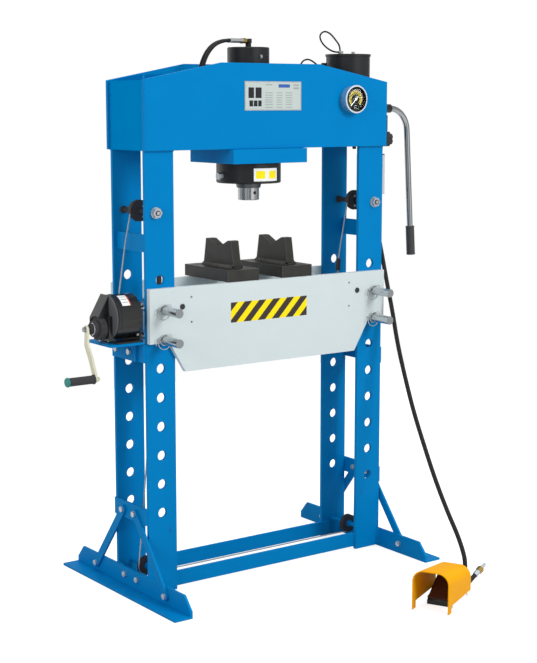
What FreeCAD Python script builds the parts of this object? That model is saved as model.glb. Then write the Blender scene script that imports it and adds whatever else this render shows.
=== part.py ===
import FreeCAD, Part
import math
import os
import Sketcher
from FreeCAD import Placement, Rotation, Vector

# Workshop press with a movable hydraulic ram, a bed lifted by a hand winch and a foot pedal.
# Origin: on the floor, midway between the two feet. +X to the press's right, +Y to its rear, +Z up.

# Driving dimensions in millimetres, angles in degrees.
SIZES = {
    # Posts: four flat bars with rows of pin holes
    "frame_half": 510,
    "post_wide": 112,
    "post_thick": 12,
    "post_face": 110,
    "post_low": 6,
    "post_high": 1700,
    "hole_inset": 56,
    "hole_rise": 288,
    "hole_pitch": 100,
    "hole_count": 9,
    "hole_radius": 17,
    # Head: two hexagonal plates, a bent cover on the left, an end plate and tray on the right
    "head_lap": 8,
    "head_face": 122,
    "head_plate": 12,
    "head_drop": 183,
    "head_end_high": 231,
    "head_slope_high": 59,
    "head_flat": 208,
    "cover_thick": 6,
    "cover_drop": 3,
    "cover_long": 110,
    "lift_hole_radius": 15,
    "lift_hole_inset": 22,
    "lift_hole_front": 92,
    "rail_inset": 122,
    "rail_lift": 28,
    "rail_thick": 12,
    "rail_wide": 22,
    "tray_long": 168,
    "tray_lift": 29,
    "name_half": 120.5,
    "name_middle": 3.5,
    "name_lift": 130,
    "name_tall": 99,
    "name_thick": 1.5,
    # Plates between the posts at each side, and bars along the floor
    "tie_thick": 8,
    "tie_half": 105,
    "upper_tie_inset": 14,
    "upper_tie_drop": 277,
    "upper_tie_wide": 59,
    "left_tie_drop": 9,
    "left_tie_wide": 63,
    "right_tie_low": 708,
    "right_tie_wide": 60,
    "lower_tie_low": 250,
    "lower_tie_wide": 58,
    "floor_tie_low": 14,
    "floor_tie_wide": 52,
    "bar_inset": 80,
    "bar_thick": 10,
    "bar_low": 14,
    "bar_wide": 53,
    # Feet: angle irons with flat braces
    "foot_half": 380,
    "foot_wide": 70,
    "foot_high": 70,
    "foot_thick": 8,
    "foot_cut_long": 40,
    "foot_cut_low": 25,
    "brace_wide": 30,
    "brace_thick": 8,
    "brace_top_out": 40,
    "brace_low_out": 232,
    "brace_low_rise": 38,
    "foot_bolt_out": 41,
    "foot_bolt_rise": 44,
    "bolt_radius": 6,
    "bolt_play": 0.4,
    "bolt_across": 19,
    "bolt_head": 8,
    "nut_high": 10,
    # Bed: two T-shaped plates on four pins
    "bed_inset": 3,
    "bed_lift": 74,
    "bed_face": 128.5,
    "bed_thick": 18,
    "wing_lap": 11,
    "wing_inset": 80,
    "belly_deep": 105,
    "belly_inset": 142,
    "pin_radius": 15,
    "pin_play": 0.75,
    "pin_front": 230,
    "pin_tail": 160,
    "pin_row": 7,
    "clip_wire": 1.5,
    "clip_ring": 24,
    "clip_drop": 7,
    "clip_front": 133,
    "tie_rod_radius": 10,
    "tie_rod_inset": 131,
    "tie_rod_drop": 67,
    "dot_radius": 4,
    "dot_inset": 168,
    "dot_high_drop": 37,
    "dot_low_drop": 122,
    "spacer_inset": 230,
    "spacer_thick": 12,
    "spacer_lift": 28,
    "spacer_tall": 100,
    # V blocks
    "slab_wide": 131,
    "slab_thick": 41,
    "slab_front": 119,
    "slab_back": 155,
    "slab_left": 186,
    "slab_right": 46,
    "vee_inset": 58,
    "vee_thick": 32,
    "vee_high": 94,
    "vee_foot_half": 95.5,
    "vee_top_half": 79,
    "vee_middle": 25.5,
    "vee_notch_half": 58,
    "vee_notch_deep": 27,
    "vee_weld": 10,
    # Ram and its carriage
    "ram_across": -15,
    "block_half": 157,
    "block_deep": 270,
    "block_high": 50,
    "block_gap": 0.5,
    "hanger_in": 77,
    "hanger_thick": 9,
    "hanger_left": 230,
    "hanger_right": 130,
    "hanger_lip": 11,
    "hanger_play": 0.4,
    "hanger_lip_thick": 10,
    "port_wide": 30,
    "port_high": 20,
    "barrel_radius": 73.5,
    "barrel_bore": 60,
    "barrel_show": 57,
    "barrel_cap": 99,
    "flange_radius": 114,
    "flange_high": 71.5,
    "gland_wall": 7.5,
    "gland_drop": 18,
    "gland_taper": 14,
    "rod_radius": 37.5,
    "rod_show": 43,
    "rod_play": 0.1,
    "piston_gap": 23,
    "piston_thick": 40,
    "rod_hole_lift": 26,
    "rod_hole_radius": 6,
    "rod_groove": 1.5,
    "elbow_stand": 22,
    "elbow_radius": 7.5,
    "elbow_spread": 8,
    "hex_end": 29,
    "hex_across": 15.6,
    "ferrule_end": 82,
    "ferrule_radius": 7.5,
    "hose_radius": 6,
    # Pump, reservoir, lever and release valve
    "tank_inset": 78,
    "tank_radius": 80,
    "tank_tall": 294,
    "tank_rim": 3,
    "pump_deep": 35,
    "pump_half": 35,
    "pump_lift": 7,
    "pump_tall": 104,
    "lever_front": 60,
    "lever_out": 24,
    "lever_stand": 24,
    "lever_bend": 84,
    "lever_long": 130,
    "lever_lean": 34,
    "lever_fall": 550,
    "lever_radius": 11,
    "grip_radius": 16,
    "grip_long": 109,
    "socket_radius": 16,
    "socket_long": 50,
    "knob_lift": 16,
    "knob_radius": 27,
    "knob_gap": 41,
    "knob_long": 29,
    # Gauge
    "gauge_inset": 163,
    "gauge_lift": 168.5,
    "gauge_radius": 46.5,
    "gauge_bezel": 49.5,
    "gauge_front": 157,
    # Winch
    "winch_front": 45,
    "winch_rise": 970,
    "drum_cover_radius": 75,
    "drum_cover_wall": 4,
    "drum_cover_gap": 21,
    "drum_cover_long": 91,
    "drum_radius": 18,
    "wrap_radius": 24,
    "drum_flange": 66,
    "snout_front": 62,
    "snout_back": 8,
    "snout_out": 46,
    "crank_drop": 34,
    "shelf_drop": 86,
    "shelf_long": 135,
    "cheek_thick": 18,
    "hub_radius": 39,
    "hub_gap": 20,
    "hub_thick": 22,
    "hub_step": 14,
    "crank_long": 167,
    "crank_lean": 17.5,
    "crank_wide": 22,
    "crank_thick": 8,
    "crank_gap": 84,
    "crank_grip_radius": 14,
    "crank_joggle": 11,
    "crank_grip_long": 111,
    # Lifting cables and pulleys
    "pulley_upper_inset": 40,
    "pulley_upper_drop": 204,
    "pulley_lower_inset": 58,
    "pulley_lower_rise": 73,
    "pulley_radius": 34,
    "pulley_groove": 28.5,
    "pulley_half": 8,
    "axle_radius": 8,
    "axle_head": 13,
    "axle_front": 130,
    "axle_nut": 30,
    "cable_radius": 2.5,
    "cable_side": 4,
    "sleeve_radius": 8.5,
    "sleeve_long": 44,
    # Air valve and foot pedal
    "valve_in": 74,
    "valve_out": 20,
    "valve_front": 98,
    "valve_back": 50,
    "valve_drop": 30,
    "valve_tall": 139,
    "pedal_across": 161,
    "pedal_front": 791.5,
    "pedal_turn": 27,
    "guard_half": 65.5,
    "guard_long": 215,
    "guard_high": 139,
    "guard_rear_high": 110,
    "guard_arch": 40,
    "guard_wall": 4,
    "guard_foot": 27,
    "guard_cut": 24,
    "treadle_start": 82,
    "treadle_half": 39,
    "treadle_long": 104,
    "treadle_rise": 22,
    "treadle_tilt": 31,
    "treadle_thick": 4,
    "foot_valve_in": 40,
    "foot_valve_out": 47,
    "foot_valve_left": 44,
    "foot_valve_right": 30,
    "foot_valve_low": 14,
    "foot_valve_high": 44,
    "pedal_hose_radius": 8,
}

doc = FreeCAD.newDocument("Press")
pieces = {}


class Size:
    """A length: the sheet expression that gives it, and its value now."""

    def __init__(self, text, value):
        self.text = text
        self.value = value

    def __add__(self, other):
        return join(self, "+", other, self.value + sized(other).value)

    def __radd__(self, other):
        return sized(other) + self

    def __sub__(self, other):
        return join(self, "-", other, self.value - sized(other).value)

    def __rsub__(self, other):
        return sized(other) - self

    def __mul__(self, other):
        return join(self, "*", other, self.value * sized(other).value)

    def __rmul__(self, other):
        return sized(other) * self

    def __truediv__(self, other):
        return join(self, "/", other, self.value / sized(other).value)

    def __neg__(self):
        return Size(f"(0 - {self.text})", -self.value)

    def __float__(self):
        return self.value


def sized(number):
    """A plain number as a Size; a Size stays as it is."""
    return number if isinstance(number, Size) else Size(f"({float(number)})", float(number))


def join(left, sign, right, value):
    return Size(f"({left.text} {sign} {sized(right).text})", value)


class Sheet:
    """The spreadsheet of driving dimensions; each name is read as a Size."""

    def __init__(self, numbers):
        self.cells = doc.addObject("Spreadsheet::Sheet", "Sizes")
        for row, (name, number) in enumerate(numbers.items(), start=1):
            self.cells.set(f"A{row}", name)
            self.cells.set(f"B{row}", str(number))
            self.cells.setAlias(f"B{row}", name)
        doc.recompute()

    def __getattr__(self, name):
        return Size(f"Sizes.{name}", float(self.cells.get(name)))


mm = Sheet(SIZES)

# Places that follow from the driving dimensions
mm.head_low = mm.post_high - mm.head_drop
mm.head_end = mm.head_low + mm.head_end_high
mm.head_top = mm.head_end + mm.head_slope_high
mm.rail_low = mm.head_low + mm.rail_lift
mm.tray_low = mm.head_low + mm.tray_lift
mm.name_low = mm.head_low + mm.name_lift
mm.name_high = mm.name_low + mm.name_tall
mm.upper_tie_high = mm.head_low - mm.upper_tie_drop
mm.upper_tie_low = mm.upper_tie_high - mm.upper_tie_wide
mm.right_tie_high = mm.right_tie_low + mm.right_tie_wide
mm.lower_tie_high = mm.lower_tie_low + mm.lower_tie_wide
mm.floor_tie_high = mm.floor_tie_low + mm.floor_tie_wide
mm.bar_high = mm.bar_low + mm.bar_wide
mm.brace_top_rise = mm.lower_tie_low + mm.lower_tie_wide / 2
mm.pin_rise = mm.hole_rise + mm.hole_pitch * mm.pin_row
mm.bed_top = mm.pin_rise + mm.bed_lift
mm.wing_low = mm.pin_rise - mm.hole_pitch - mm.wing_lap
mm.belly_low = mm.wing_low - mm.belly_deep
mm.tie_rod_rise = mm.bed_top - mm.tie_rod_drop
mm.dot_high = mm.bed_top - mm.dot_high_drop
mm.dot_low = mm.bed_top - mm.dot_low_drop
mm.spacer_low = mm.belly_low + mm.spacer_lift
mm.spacer_high = mm.spacer_low + mm.spacer_tall
mm.flange_top = mm.head_low - mm.block_gap - mm.block_high
mm.flange_low = mm.flange_top - mm.flange_high
mm.gland_low = mm.flange_low - mm.gland_drop
mm.gland_radius = mm.rod_radius + mm.gland_wall
mm.rod_low = mm.gland_low - mm.rod_show
mm.rod_hole_rise = mm.rod_low + mm.rod_hole_lift
mm.barrel_top = mm.head_top + mm.barrel_show
mm.bore_top = mm.barrel_top - mm.barrel_cap
mm.piston_high = mm.bore_top - mm.piston_gap
mm.piston_low = mm.piston_high - mm.piston_thick
mm.tank_top = mm.tray_low + mm.tie_thick + mm.tank_tall
mm.pump_low = mm.head_low + mm.pump_lift
mm.pump_high = mm.pump_low + mm.pump_tall
mm.lever_rise = mm.pump_high + mm.lever_stand
mm.lever_end_rise = mm.lever_rise - mm.lever_fall
mm.knob_rise = mm.pump_low + mm.knob_lift
mm.gauge_rise = mm.head_low + mm.gauge_lift
mm.pulley_upper_rise = mm.head_low - mm.pulley_upper_drop
mm.valve_high = mm.head_low - mm.valve_drop
mm.valve_low = mm.valve_high - mm.valve_tall
mm.hole_across = mm.frame_half - mm.hole_inset
mm.head_half = mm.frame_half + mm.head_lap
mm.cover_reach = mm.frame_half - mm.cover_long
mm.lift_hole_across = mm.frame_half - mm.lift_hole_inset
mm.rail_half = mm.frame_half - mm.rail_inset
mm.tray_reach = mm.frame_half - mm.tray_long
mm.bar_half = mm.frame_half - mm.bar_inset
mm.bed_half = mm.frame_half - mm.bed_inset
mm.wing_reach = mm.frame_half - mm.wing_inset
mm.belly_half = mm.frame_half - mm.belly_inset
mm.tie_rod_across = mm.frame_half - mm.tie_rod_inset
mm.dot_across = mm.frame_half - mm.dot_inset
mm.spacer_across = mm.frame_half - mm.spacer_inset
mm.elbow_rise = mm.barrel_top + mm.elbow_stand
mm.tank_across = mm.frame_half - mm.tank_inset
mm.lever_across = mm.frame_half + mm.lever_out
mm.lever_corner = mm.lever_across + mm.lever_long
mm.lever_end_across = mm.lever_corner + mm.lever_lean
mm.socket_end = mm.lever_across + mm.socket_long
mm.knob_start = mm.frame_half + mm.knob_gap
mm.knob_end = mm.knob_start + mm.knob_long
mm.gauge_across = mm.frame_half - mm.gauge_inset
mm.drum_cover_right = mm.frame_half + mm.drum_cover_gap
mm.drum_cover_left = mm.drum_cover_right + mm.drum_cover_long
mm.shelf_left = mm.frame_half + mm.shelf_long
mm.shelf_rise = mm.winch_rise - mm.shelf_drop
mm.crank_rise = mm.winch_rise - mm.crank_drop
mm.left_tie_high = mm.shelf_rise - mm.left_tie_drop
mm.left_tie_low = mm.left_tie_high - mm.left_tie_wide
mm.hub_right = mm.drum_cover_left + mm.hub_gap
mm.hub_left = mm.hub_right + mm.hub_thick
mm.crank_out = mm.drum_cover_left + mm.crank_gap
mm.crank_grip_start = mm.crank_out - mm.crank_joggle
mm.crank_grip_end = mm.crank_grip_start + mm.crank_grip_long
mm.pulley_upper_across = mm.frame_half - mm.pulley_upper_inset
mm.pulley_lower_across = mm.frame_half - mm.pulley_lower_inset
mm.valve_left = mm.frame_half - mm.valve_in
mm.valve_right = mm.frame_half + mm.valve_out

TURN = {"x": Rotation(Vector(0, 1, 0), 90), "y": Rotation(Vector(1, 0, 0), -90), "z": Rotation()}
PLANES = {"xz": "XZ_Plane", "yz": "YZ_Plane", "xy": "XY_Plane"}


def keep(name, piece):
    """Registers an object as the finished piece of that name."""
    piece.Label = name
    pieces[name] = piece
    return piece


def bind(piece, name, value):
    piece.setExpression(name, sized(value).text)


def put(piece, start):
    for letter, value in zip("xyz", start):
        bind(piece, f".Placement.Base.{letter}", value)
    return piece


def block(x, y, z):
    """A box between the two values of each pair."""
    piece = doc.addObject("Part::Box", "block")
    for side, (start, end) in zip(("Length", "Width", "Height"), (x, y, z)):
        bind(piece, side, sized(end) - start)
    return put(piece, (x[0], y[0], z[0]))


def rod(axis, start, length, radius):
    """A cylinder from its start along +X, +Y or +Z."""
    piece = doc.addObject("Part::Cylinder", "rod")
    bind(piece, "Radius", radius)
    bind(piece, "Height", length)
    piece.Placement = Placement(Vector(), TURN[axis])
    return put(piece, start)


def hexagon(axis, start, length, across):
    """A six-sided prism from its start along +X, +Y or +Z."""
    piece = doc.addObject("Part::Prism", "hexagon")
    piece.Polygon = 6
    bind(piece, "Circumradius", sized(across) / math.sqrt(3))
    bind(piece, "Height", length)
    piece.Placement = Placement(Vector(), TURN[axis])
    return put(piece, start)


def ring(axis, centre, radius, wire):
    """A torus about +X, +Y or +Z."""
    piece = doc.addObject("Part::Torus", "ring")
    bind(piece, "Radius1", radius)
    bind(piece, "Radius2", wire)
    piece.Placement = Placement(Vector(), TURN[axis])
    return put(piece, centre)


def fuse(*parts):
    piece = doc.addObject("Part::MultiFuse", "fused")
    piece.Shapes = list(parts)
    return piece


def cut(base, *tools):
    piece = doc.addObject("Part::Cut", "trimmed")
    piece.Base = base
    piece.Tool = tools[0] if len(tools) == 1 else fuse(*tools)
    return piece


def group(*parts):
    piece = doc.addObject("Part::Compound", "group")
    piece.Links = list(parts)
    return piece


def made(shape):
    """A shape built directly, for sweeps and lofts."""
    piece = doc.addObject("Part::Feature", "made")
    piece.Shape = shape
    return piece


def sketch_on(body, plane, along, right=0, up=0):
    """A sketch on one of the body's own origin planes, shifted by the three values."""
    sketch = body.newObject("Sketcher::SketchObject", "outline")
    own = [face for face in body.Origin.OriginFeatures if face.Role == PLANES[plane]]
    sketch.AttachmentSupport = [(own[0], "")]
    sketch.MapMode = "FlatFace"
    bind(sketch, "AttachmentOffset.Base.x", right)
    bind(sketch, "AttachmentOffset.Base.y", up)
    bind(sketch, "AttachmentOffset.Base.z", along)
    return sketch


def fix(sketch, kind, value, *where):
    place = sketch.addConstraint(Sketcher.Constraint(kind, *where, float(value) or 1.0))
    bind(sketch, f"Constraints[{place}]", value)


def outline(sketch, points):
    """A closed outline of straight sides, every corner bound to its two sizes."""
    corners = [Vector(float(x), float(y), 0) for x, y in points]
    for start, end in zip(corners, corners[1:] + corners[:1]):
        sketch.addGeometry(Part.LineSegment(start, end))
    for side in range(len(points)):
        following = (side + 1) % len(points)
        sketch.addConstraint(Sketcher.Constraint("Coincident", side, 2, following, 1))
    for side, (x, y) in enumerate(points):
        fix(sketch, "DistanceX", x, -1, 1, side, 1)
        fix(sketch, "DistanceY", y, -1, 1, side, 1)


def circle(sketch, x, y, radius):
    line = sketch.addGeometry(Part.Circle(Vector(float(x), float(y), 0), Vector(0, 0, 1), float(radius)))
    fix(sketch, "Radius", radius, line)
    fix(sketch, "DistanceX", x, -1, 1, line, 3)
    fix(sketch, "DistanceY", y, -1, 1, line, 3)


def new_body(name):
    return keep(name, doc.addObject("PartDesign::Body", name))


def pad(body, plane, start, end, points):
    """A straight-sided outline given thickness between start and end across its plane."""
    start, end = sized(start), sized(end)
    sketch = sketch_on(body, plane, -end if plane == "xz" else start)
    outline(sketch, points)
    feature = body.newObject("PartDesign::Pad", "pad")
    feature.Profile = sketch
    bind(feature, "Length", end - start)
    return sketch


def drill(body, plane, start, end, circles):
    """Round holes through the body between start and end across the plane."""
    start, end = sized(start), sized(end)
    sketch = sketch_on(body, plane, -end if plane == "xz" else start)
    for x, y, radius in circles:
        circle(sketch, x, y, radius)
    feature = body.newObject("PartDesign::Pocket", "holes")
    feature.Profile = sketch
    feature.Reversed = True
    bind(feature, "Length", end - start)
    return feature


def slot(body, plane, start, end, points):
    """A straight-sided pocket between start and end across the plane."""
    start, end = sized(start), sized(end)
    sketch = sketch_on(body, plane, -end if plane == "xz" else start)
    outline(sketch, points)
    feature = body.newObject("PartDesign::Pocket", "cutout")
    feature.Profile = sketch
    feature.Reversed = True
    bind(feature, "Length", end - start)
    return feature


def turned(name, axis, centre, profile):
    """A piece turned about X, Y or Z through the centre; the profile is (along, radius) pairs."""
    body = new_body(name) if name else doc.addObject("PartDesign::Body", "turned")
    x, y, z = (sized(value) for value in centre)
    plane = "yz" if axis == "y" else "xz"
    sketch = sketch_on(body, plane, x if axis == "y" else -y, y if axis == "y" else x, z)
    points = [(radius, along) if axis == "z" else (along, radius) for along, radius in profile]
    outline(sketch, points)
    feature = body.newObject("PartDesign::Revolution", "turn")
    feature.Profile = sketch
    feature.ReferenceAxis = (sketch, ["V_Axis" if axis == "z" else "H_Axis"])
    feature.Angle = 360
    return body


def path_wire(points, radii):
    """Straight runs through the points, joined by tangent arcs of the given radii."""
    edges = []
    start = points[0]
    for before, corner, after, radius in zip(points, points[1:], points[2:], radii):
        back = (before - corner).normalize()
        ahead = (after - corner).normalize()
        half_turn = (math.pi - back.getAngle(ahead)) / 2
        reach = radius * math.tan(half_turn)
        middle = (back + ahead).normalize() * (radius / math.cos(half_turn) - radius)
        edges.append(Part.LineSegment(start, corner + back * reach).toShape())
        edges.append(Part.Arc(corner + back * reach, corner + middle, corner + ahead * reach).toShape())
        start = corner + ahead * reach
    edges.append(Part.LineSegment(start, points[-1]).toShape())
    return Part.Wire(edges)


def swept(points, radii, radius, name=""):
    """A round bar or hose along the path; its volume is compared with section times length."""
    wire = path_wire(points, radii)
    heading = (points[1] - points[0]).normalize()
    section = Part.Wire(Part.Circle(points[0], heading, radius).toShape())
    shape = wire.makePipeShell([section], True, False)
    expected = math.pi * radius * radius * wire.Length
    if abs(shape.Volume - expected) > 0.01 * expected:
        raise RuntimeError(f"{name}: volume {shape.Volume:.0f}, expected {expected:.0f}")
    return shape


def hose_radii(points):
    """The largest arcs that neighbouring runs allow: 0.45 of the shorter run over the half turn's tangent."""
    radii = []
    for before, corner, after in zip(points, points[1:], points[2:]):
        half_turn = (math.pi - (before - corner).getAngle(after - corner)) / 2
        shorter = min((before - corner).Length, (after - corner).Length)
        radii.append(0.45 * shorter / math.tan(half_turn))
    return radii


def hose(name, points, radius):
    """A free hose: a plain tube along its route; prints its length and radii."""
    radii = hose_radii(points)
    length = path_wire(points, radii).Length
    print(name, "length", round(length), "arc radii", [round(value) for value in radii])
    return keep(name, made(swept(points, radii, radius, name)))


def vec(x, y, z):
    return Vector(float(x), float(y), float(z))


SIDES = {"left": -1, "right": 1}
bolt_hole = mm.bolt_radius + mm.bolt_play
tie_outer = mm.frame_half + mm.tie_thick

# Posts
for side, sign in SIDES.items():
    inner = mm.frame_half - mm.post_wide
    for depth, start in (("front", -mm.post_face), ("rear", mm.post_face - mm.post_thick)):
        post = new_body(f"post_{depth}_{side}")
        end = start + mm.post_thick
        left, right = (-mm.frame_half, -inner) if sign < 0 else (inner, mm.frame_half)
        corners = [(left, mm.post_low), (right, mm.post_low), (right, mm.post_high), (left, mm.post_high)]
        pad(post, "xz", start, end, corners)
        holes = drill(post, "xz", start, end, [(sign * mm.hole_across, mm.hole_rise, mm.hole_radius)])
        doc.recompute()
        row = post.newObject("PartDesign::LinearPattern", "row")
        row.Originals = [holes]
        row.Direction = (holes.Profile[0], ["V_Axis"])
        bind(row, "Length", mm.hole_pitch * (mm.hole_count - 1))
        bind(row, "Occurrences", mm.hole_count)
        post.Tip = row
        circles = [(sign * mm.pulley_upper_across, mm.pulley_upper_rise, mm.axle_radius + 0.2)]
        if depth == "front":
            drill(post, "xz", start, end, circles)

# Head plates, each with a ledge rail inside
slope = (mm.head_top - mm.head_end) / (mm.head_half - mm.head_flat)
head_shape = [
    (-mm.head_half, mm.head_low),
    (mm.head_half, mm.head_low),
    (mm.head_half, mm.head_end),
    (mm.head_flat, mm.head_top),
    (-mm.head_flat, mm.head_top),
    (-mm.head_half, mm.head_end),
]
rail_high = mm.rail_low + mm.rail_thick
rail_shape = [
    (-mm.rail_half, mm.rail_low),
    (mm.rail_half, mm.rail_low),
    (mm.rail_half, rail_high),
    (-mm.rail_half, rail_high),
]
inner_face = mm.head_face - mm.head_plate
head = new_body("head_front_plate")
pad(head, "xz", -mm.head_face, -inner_face, head_shape)
pad(head, "xz", -inner_face, -inner_face + mm.rail_wide, rail_shape)
head = new_body("head_rear_plate")
pad(head, "xz", inner_face, mm.head_face, head_shape)
pad(head, "xz", inner_face - mm.rail_wide, inner_face, rail_shape)

# Left cover: an end plate between the posts and a sloping sheet above them
left_edge = -mm.frame_half
cover_top_end = mm.head_end + (mm.head_half - mm.frame_half) * slope - mm.cover_drop
cover_top_in = mm.head_end + (mm.head_half - mm.cover_reach) * slope - mm.cover_drop
cover = new_body("head_left_cover")
post_inner = mm.post_face - mm.post_thick
end_inner = left_edge + mm.cover_thick
over_posts = mm.post_high + 1
corners = [(left_edge, mm.head_low), (end_inner, mm.head_low), (end_inner, over_posts), (left_edge, over_posts)]
pad(cover, "xz", -post_inner, post_inner, corners)
sheet_shape = [
    (left_edge, over_posts),
    (end_inner, over_posts),
    (end_inner, cover_top_end - mm.cover_thick + mm.cover_thick * slope),
    (-mm.cover_reach, cover_top_in - mm.cover_thick),
    (-mm.cover_reach, cover_top_in),
    (left_edge, cover_top_end),
]
pad(cover, "xz", -inner_face, inner_face, sheet_shape)
drill(cover, "xy", mm.head_end - mm.cover_thick * 5, mm.head_end + mm.cover_thick * 5, [
    (-mm.lift_hole_across, -mm.lift_hole_front, mm.lift_hole_radius)])

# Right end: a low end plate and the tray that carries the reservoir
end = new_body("head_right_end")
right_edge = mm.frame_half
tray_top = mm.tray_low + mm.tie_thick
tray_edge = inner_face - mm.rail_wide
pad(end, "xz", -post_inner, post_inner, [
    (right_edge - mm.tie_thick, mm.head_low), (right_edge, mm.head_low),
    (right_edge, tray_top), (right_edge - mm.tie_thick, tray_top)])
pad(end, "xz", -tray_edge, tray_edge, [
    (mm.tray_reach, mm.tray_low), (right_edge - 1, mm.tray_low), (right_edge - 1, tray_top), (mm.tray_reach, tray_top)])

keep("name_plate", block(
    (mm.name_middle - mm.name_half, mm.name_middle + mm.name_half),
    (-mm.head_face - mm.name_thick, -mm.head_face),
    (mm.name_low, mm.name_high)))

# Plates between the posts at each side
ties = []
for sign in SIDES.values():
    def across(start, length):
        return (start, start + length) if sign > 0 else (-start - length, -start)

    upper_start = mm.frame_half - mm.upper_tie_inset - mm.tie_thick
    wide = (-mm.tie_half, mm.tie_half)
    narrow = (-post_inner, post_inner)
    outer = across(mm.frame_half, mm.tie_thick)
    ties.append(block(across(upper_start, mm.tie_thick), narrow, (mm.upper_tie_low, mm.upper_tie_high)))
    rise = (mm.left_tie_low, mm.left_tie_high) if sign < 0 else (mm.right_tie_low, mm.right_tie_high)
    middle = block(outer, wide, rise)
    if sign < 0:
        bolts = [rod("x", (outer[0] - 1, y, z), mm.tie_thick + 2, bolt_hole) for y, z in (
            (mm.foot_bolt_out * 1.5, mm.left_tie_low + 30), (-mm.foot_bolt_out * 0.6, mm.left_tie_low + 30))]
        middle = cut(middle, *bolts)
    ties.append(middle)
    lower = block(outer, wide, (mm.lower_tie_low, mm.lower_tie_high))
    bores = [rod("x", (outer[0] - 1, y, mm.brace_top_rise), mm.tie_thick + 2, bolt_hole)
             for y in (-mm.brace_top_out, mm.brace_top_out)]
    ties.append(cut(lower, *bores))
    inside = across(mm.frame_half - mm.tie_thick, mm.tie_thick)
    floor_tie = block(inside, narrow, (mm.floor_tie_low, mm.floor_tie_high))
    bores = [rod("x", (inside[0] - 1, y, mm.foot_bolt_rise), mm.tie_thick + 2, bolt_hole)
             for y in (-mm.foot_bolt_out, mm.foot_bolt_out)]
    ties.append(cut(floor_tie, *bores))
keep("side_ties", group(*ties))

keep("cross_bars", group(*[
    block((-mm.bar_half, mm.bar_half), (start, start + mm.bar_thick), (mm.bar_low, mm.bar_high))
    for start in (-post_inner, post_inner - mm.bar_thick)]))

# Feet: angle irons with clipped ends
for side, sign in SIDES.items():
    foot = new_body(f"foot_{side}")
    cut_in = mm.foot_half - mm.foot_cut_long
    flange = [
        (-mm.foot_half, 0), (mm.foot_half, 0), (mm.foot_half, mm.foot_cut_low), (cut_in, mm.foot_high),
        (-cut_in, mm.foot_high), (-mm.foot_half, mm.foot_cut_low)]
    near, far = (mm.frame_half, mm.frame_half + mm.foot_thick) if sign > 0 else (
        -mm.frame_half - mm.foot_thick, -mm.frame_half)
    pad(foot, "yz", near, far, flange)
    toe = mm.frame_half + mm.foot_wide
    low, high = (far, toe) if sign > 0 else (-toe, near)
    pad(foot, "yz", low, high, [
        (-mm.foot_half, 0), (mm.foot_half, 0), (mm.foot_half, mm.foot_thick), (-mm.foot_half, mm.foot_thick)])
    drill(foot, "yz", near, far, [(y, mm.foot_bolt_rise, bolt_hole) for y in (-mm.foot_bolt_out, mm.foot_bolt_out)]
          + [(y, mm.brace_low_rise, bolt_hole) for y in (-mm.brace_low_out, mm.brace_low_out)])

# Braces: flat bars with round ends, from the lower side plates down to the feet
braces = []
run = mm.brace_low_out - mm.brace_top_out
drop = mm.brace_top_rise - mm.brace_low_rise
brace_long = math.hypot(float(run), float(drop))
for sign in SIDES.values():
    for way in (-1, 1):
        bar = Part.makeBox(float(mm.brace_thick), brace_long, float(mm.brace_wide),
                           vec(0, 0, -mm.brace_wide / 2))
        for place in (0, brace_long):
            end = Part.makeCylinder(float(mm.brace_wide) / 2, float(mm.brace_thick), Vector(0, place, 0), Vector(1, 0, 0))
            bar = bar.fuse(end)
        for place in (0, brace_long):
            bar = bar.cut(Part.makeCylinder(float(bolt_hole), float(mm.brace_thick), Vector(0, place, 0), Vector(1, 0, 0)))
        bar = bar.removeSplitter()
        lean = math.degrees(math.atan2(-float(drop), way * float(run)))
        x = float(tie_outer) if sign > 0 else -float(tie_outer) - float(mm.brace_thick)
        brace = made(bar)
        brace.Placement = Placement(vec(x, way * mm.brace_top_out, mm.brace_top_rise), Rotation(Vector(1, 0, 0), lean))
        braces.append(brace)
keep("foot_braces", group(*braces))


def side_bolt(sign, face, y, z, grip):
    """A hexagon bolt along X: head on the face, nut on the far side of the grip."""
    if sign > 0:
        head = hexagon("x", (face, y, z), mm.bolt_head, mm.bolt_across)
        shank = rod("x", (face - grip - mm.nut_high - 4, y, z), grip + mm.nut_high + 4 + mm.bolt_head / 2, mm.bolt_radius)
        nut = hexagon("x", (face - grip - mm.nut_high, y, z), mm.nut_high, mm.bolt_across)
    else:
        head = hexagon("x", (-face - mm.bolt_head, y, z), mm.bolt_head, mm.bolt_across)
        shank = rod("x", (-face - mm.bolt_head / 2, y, z), grip + mm.nut_high + 4 + mm.bolt_head / 2, mm.bolt_radius)
        nut = hexagon("x", (-face + grip, y, z), mm.nut_high, mm.bolt_across)
    return fuse(head, shank, nut)


bolts = []
brace_face = tie_outer + mm.brace_thick
for sign in SIDES.values():
    for way in (-1, 1):
        bolts.append(side_bolt(sign, brace_face, way * mm.brace_top_out, mm.brace_top_rise, mm.tie_thick * 2))
        bolts.append(side_bolt(sign, brace_face, way * mm.brace_low_out, mm.brace_low_rise, mm.tie_thick * 2))
        bolts.append(side_bolt(sign, tie_outer, way * mm.foot_bolt_out, mm.foot_bolt_rise, mm.tie_thick * 2))
for y in (mm.foot_bolt_out * 1.5, -mm.foot_bolt_out * 0.6):
    bolts.append(side_bolt(-1, tie_outer + mm.tie_thick, y, mm.left_tie_low + 30, mm.tie_thick * 2))
keep("frame_bolts", group(*bolts))

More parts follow.
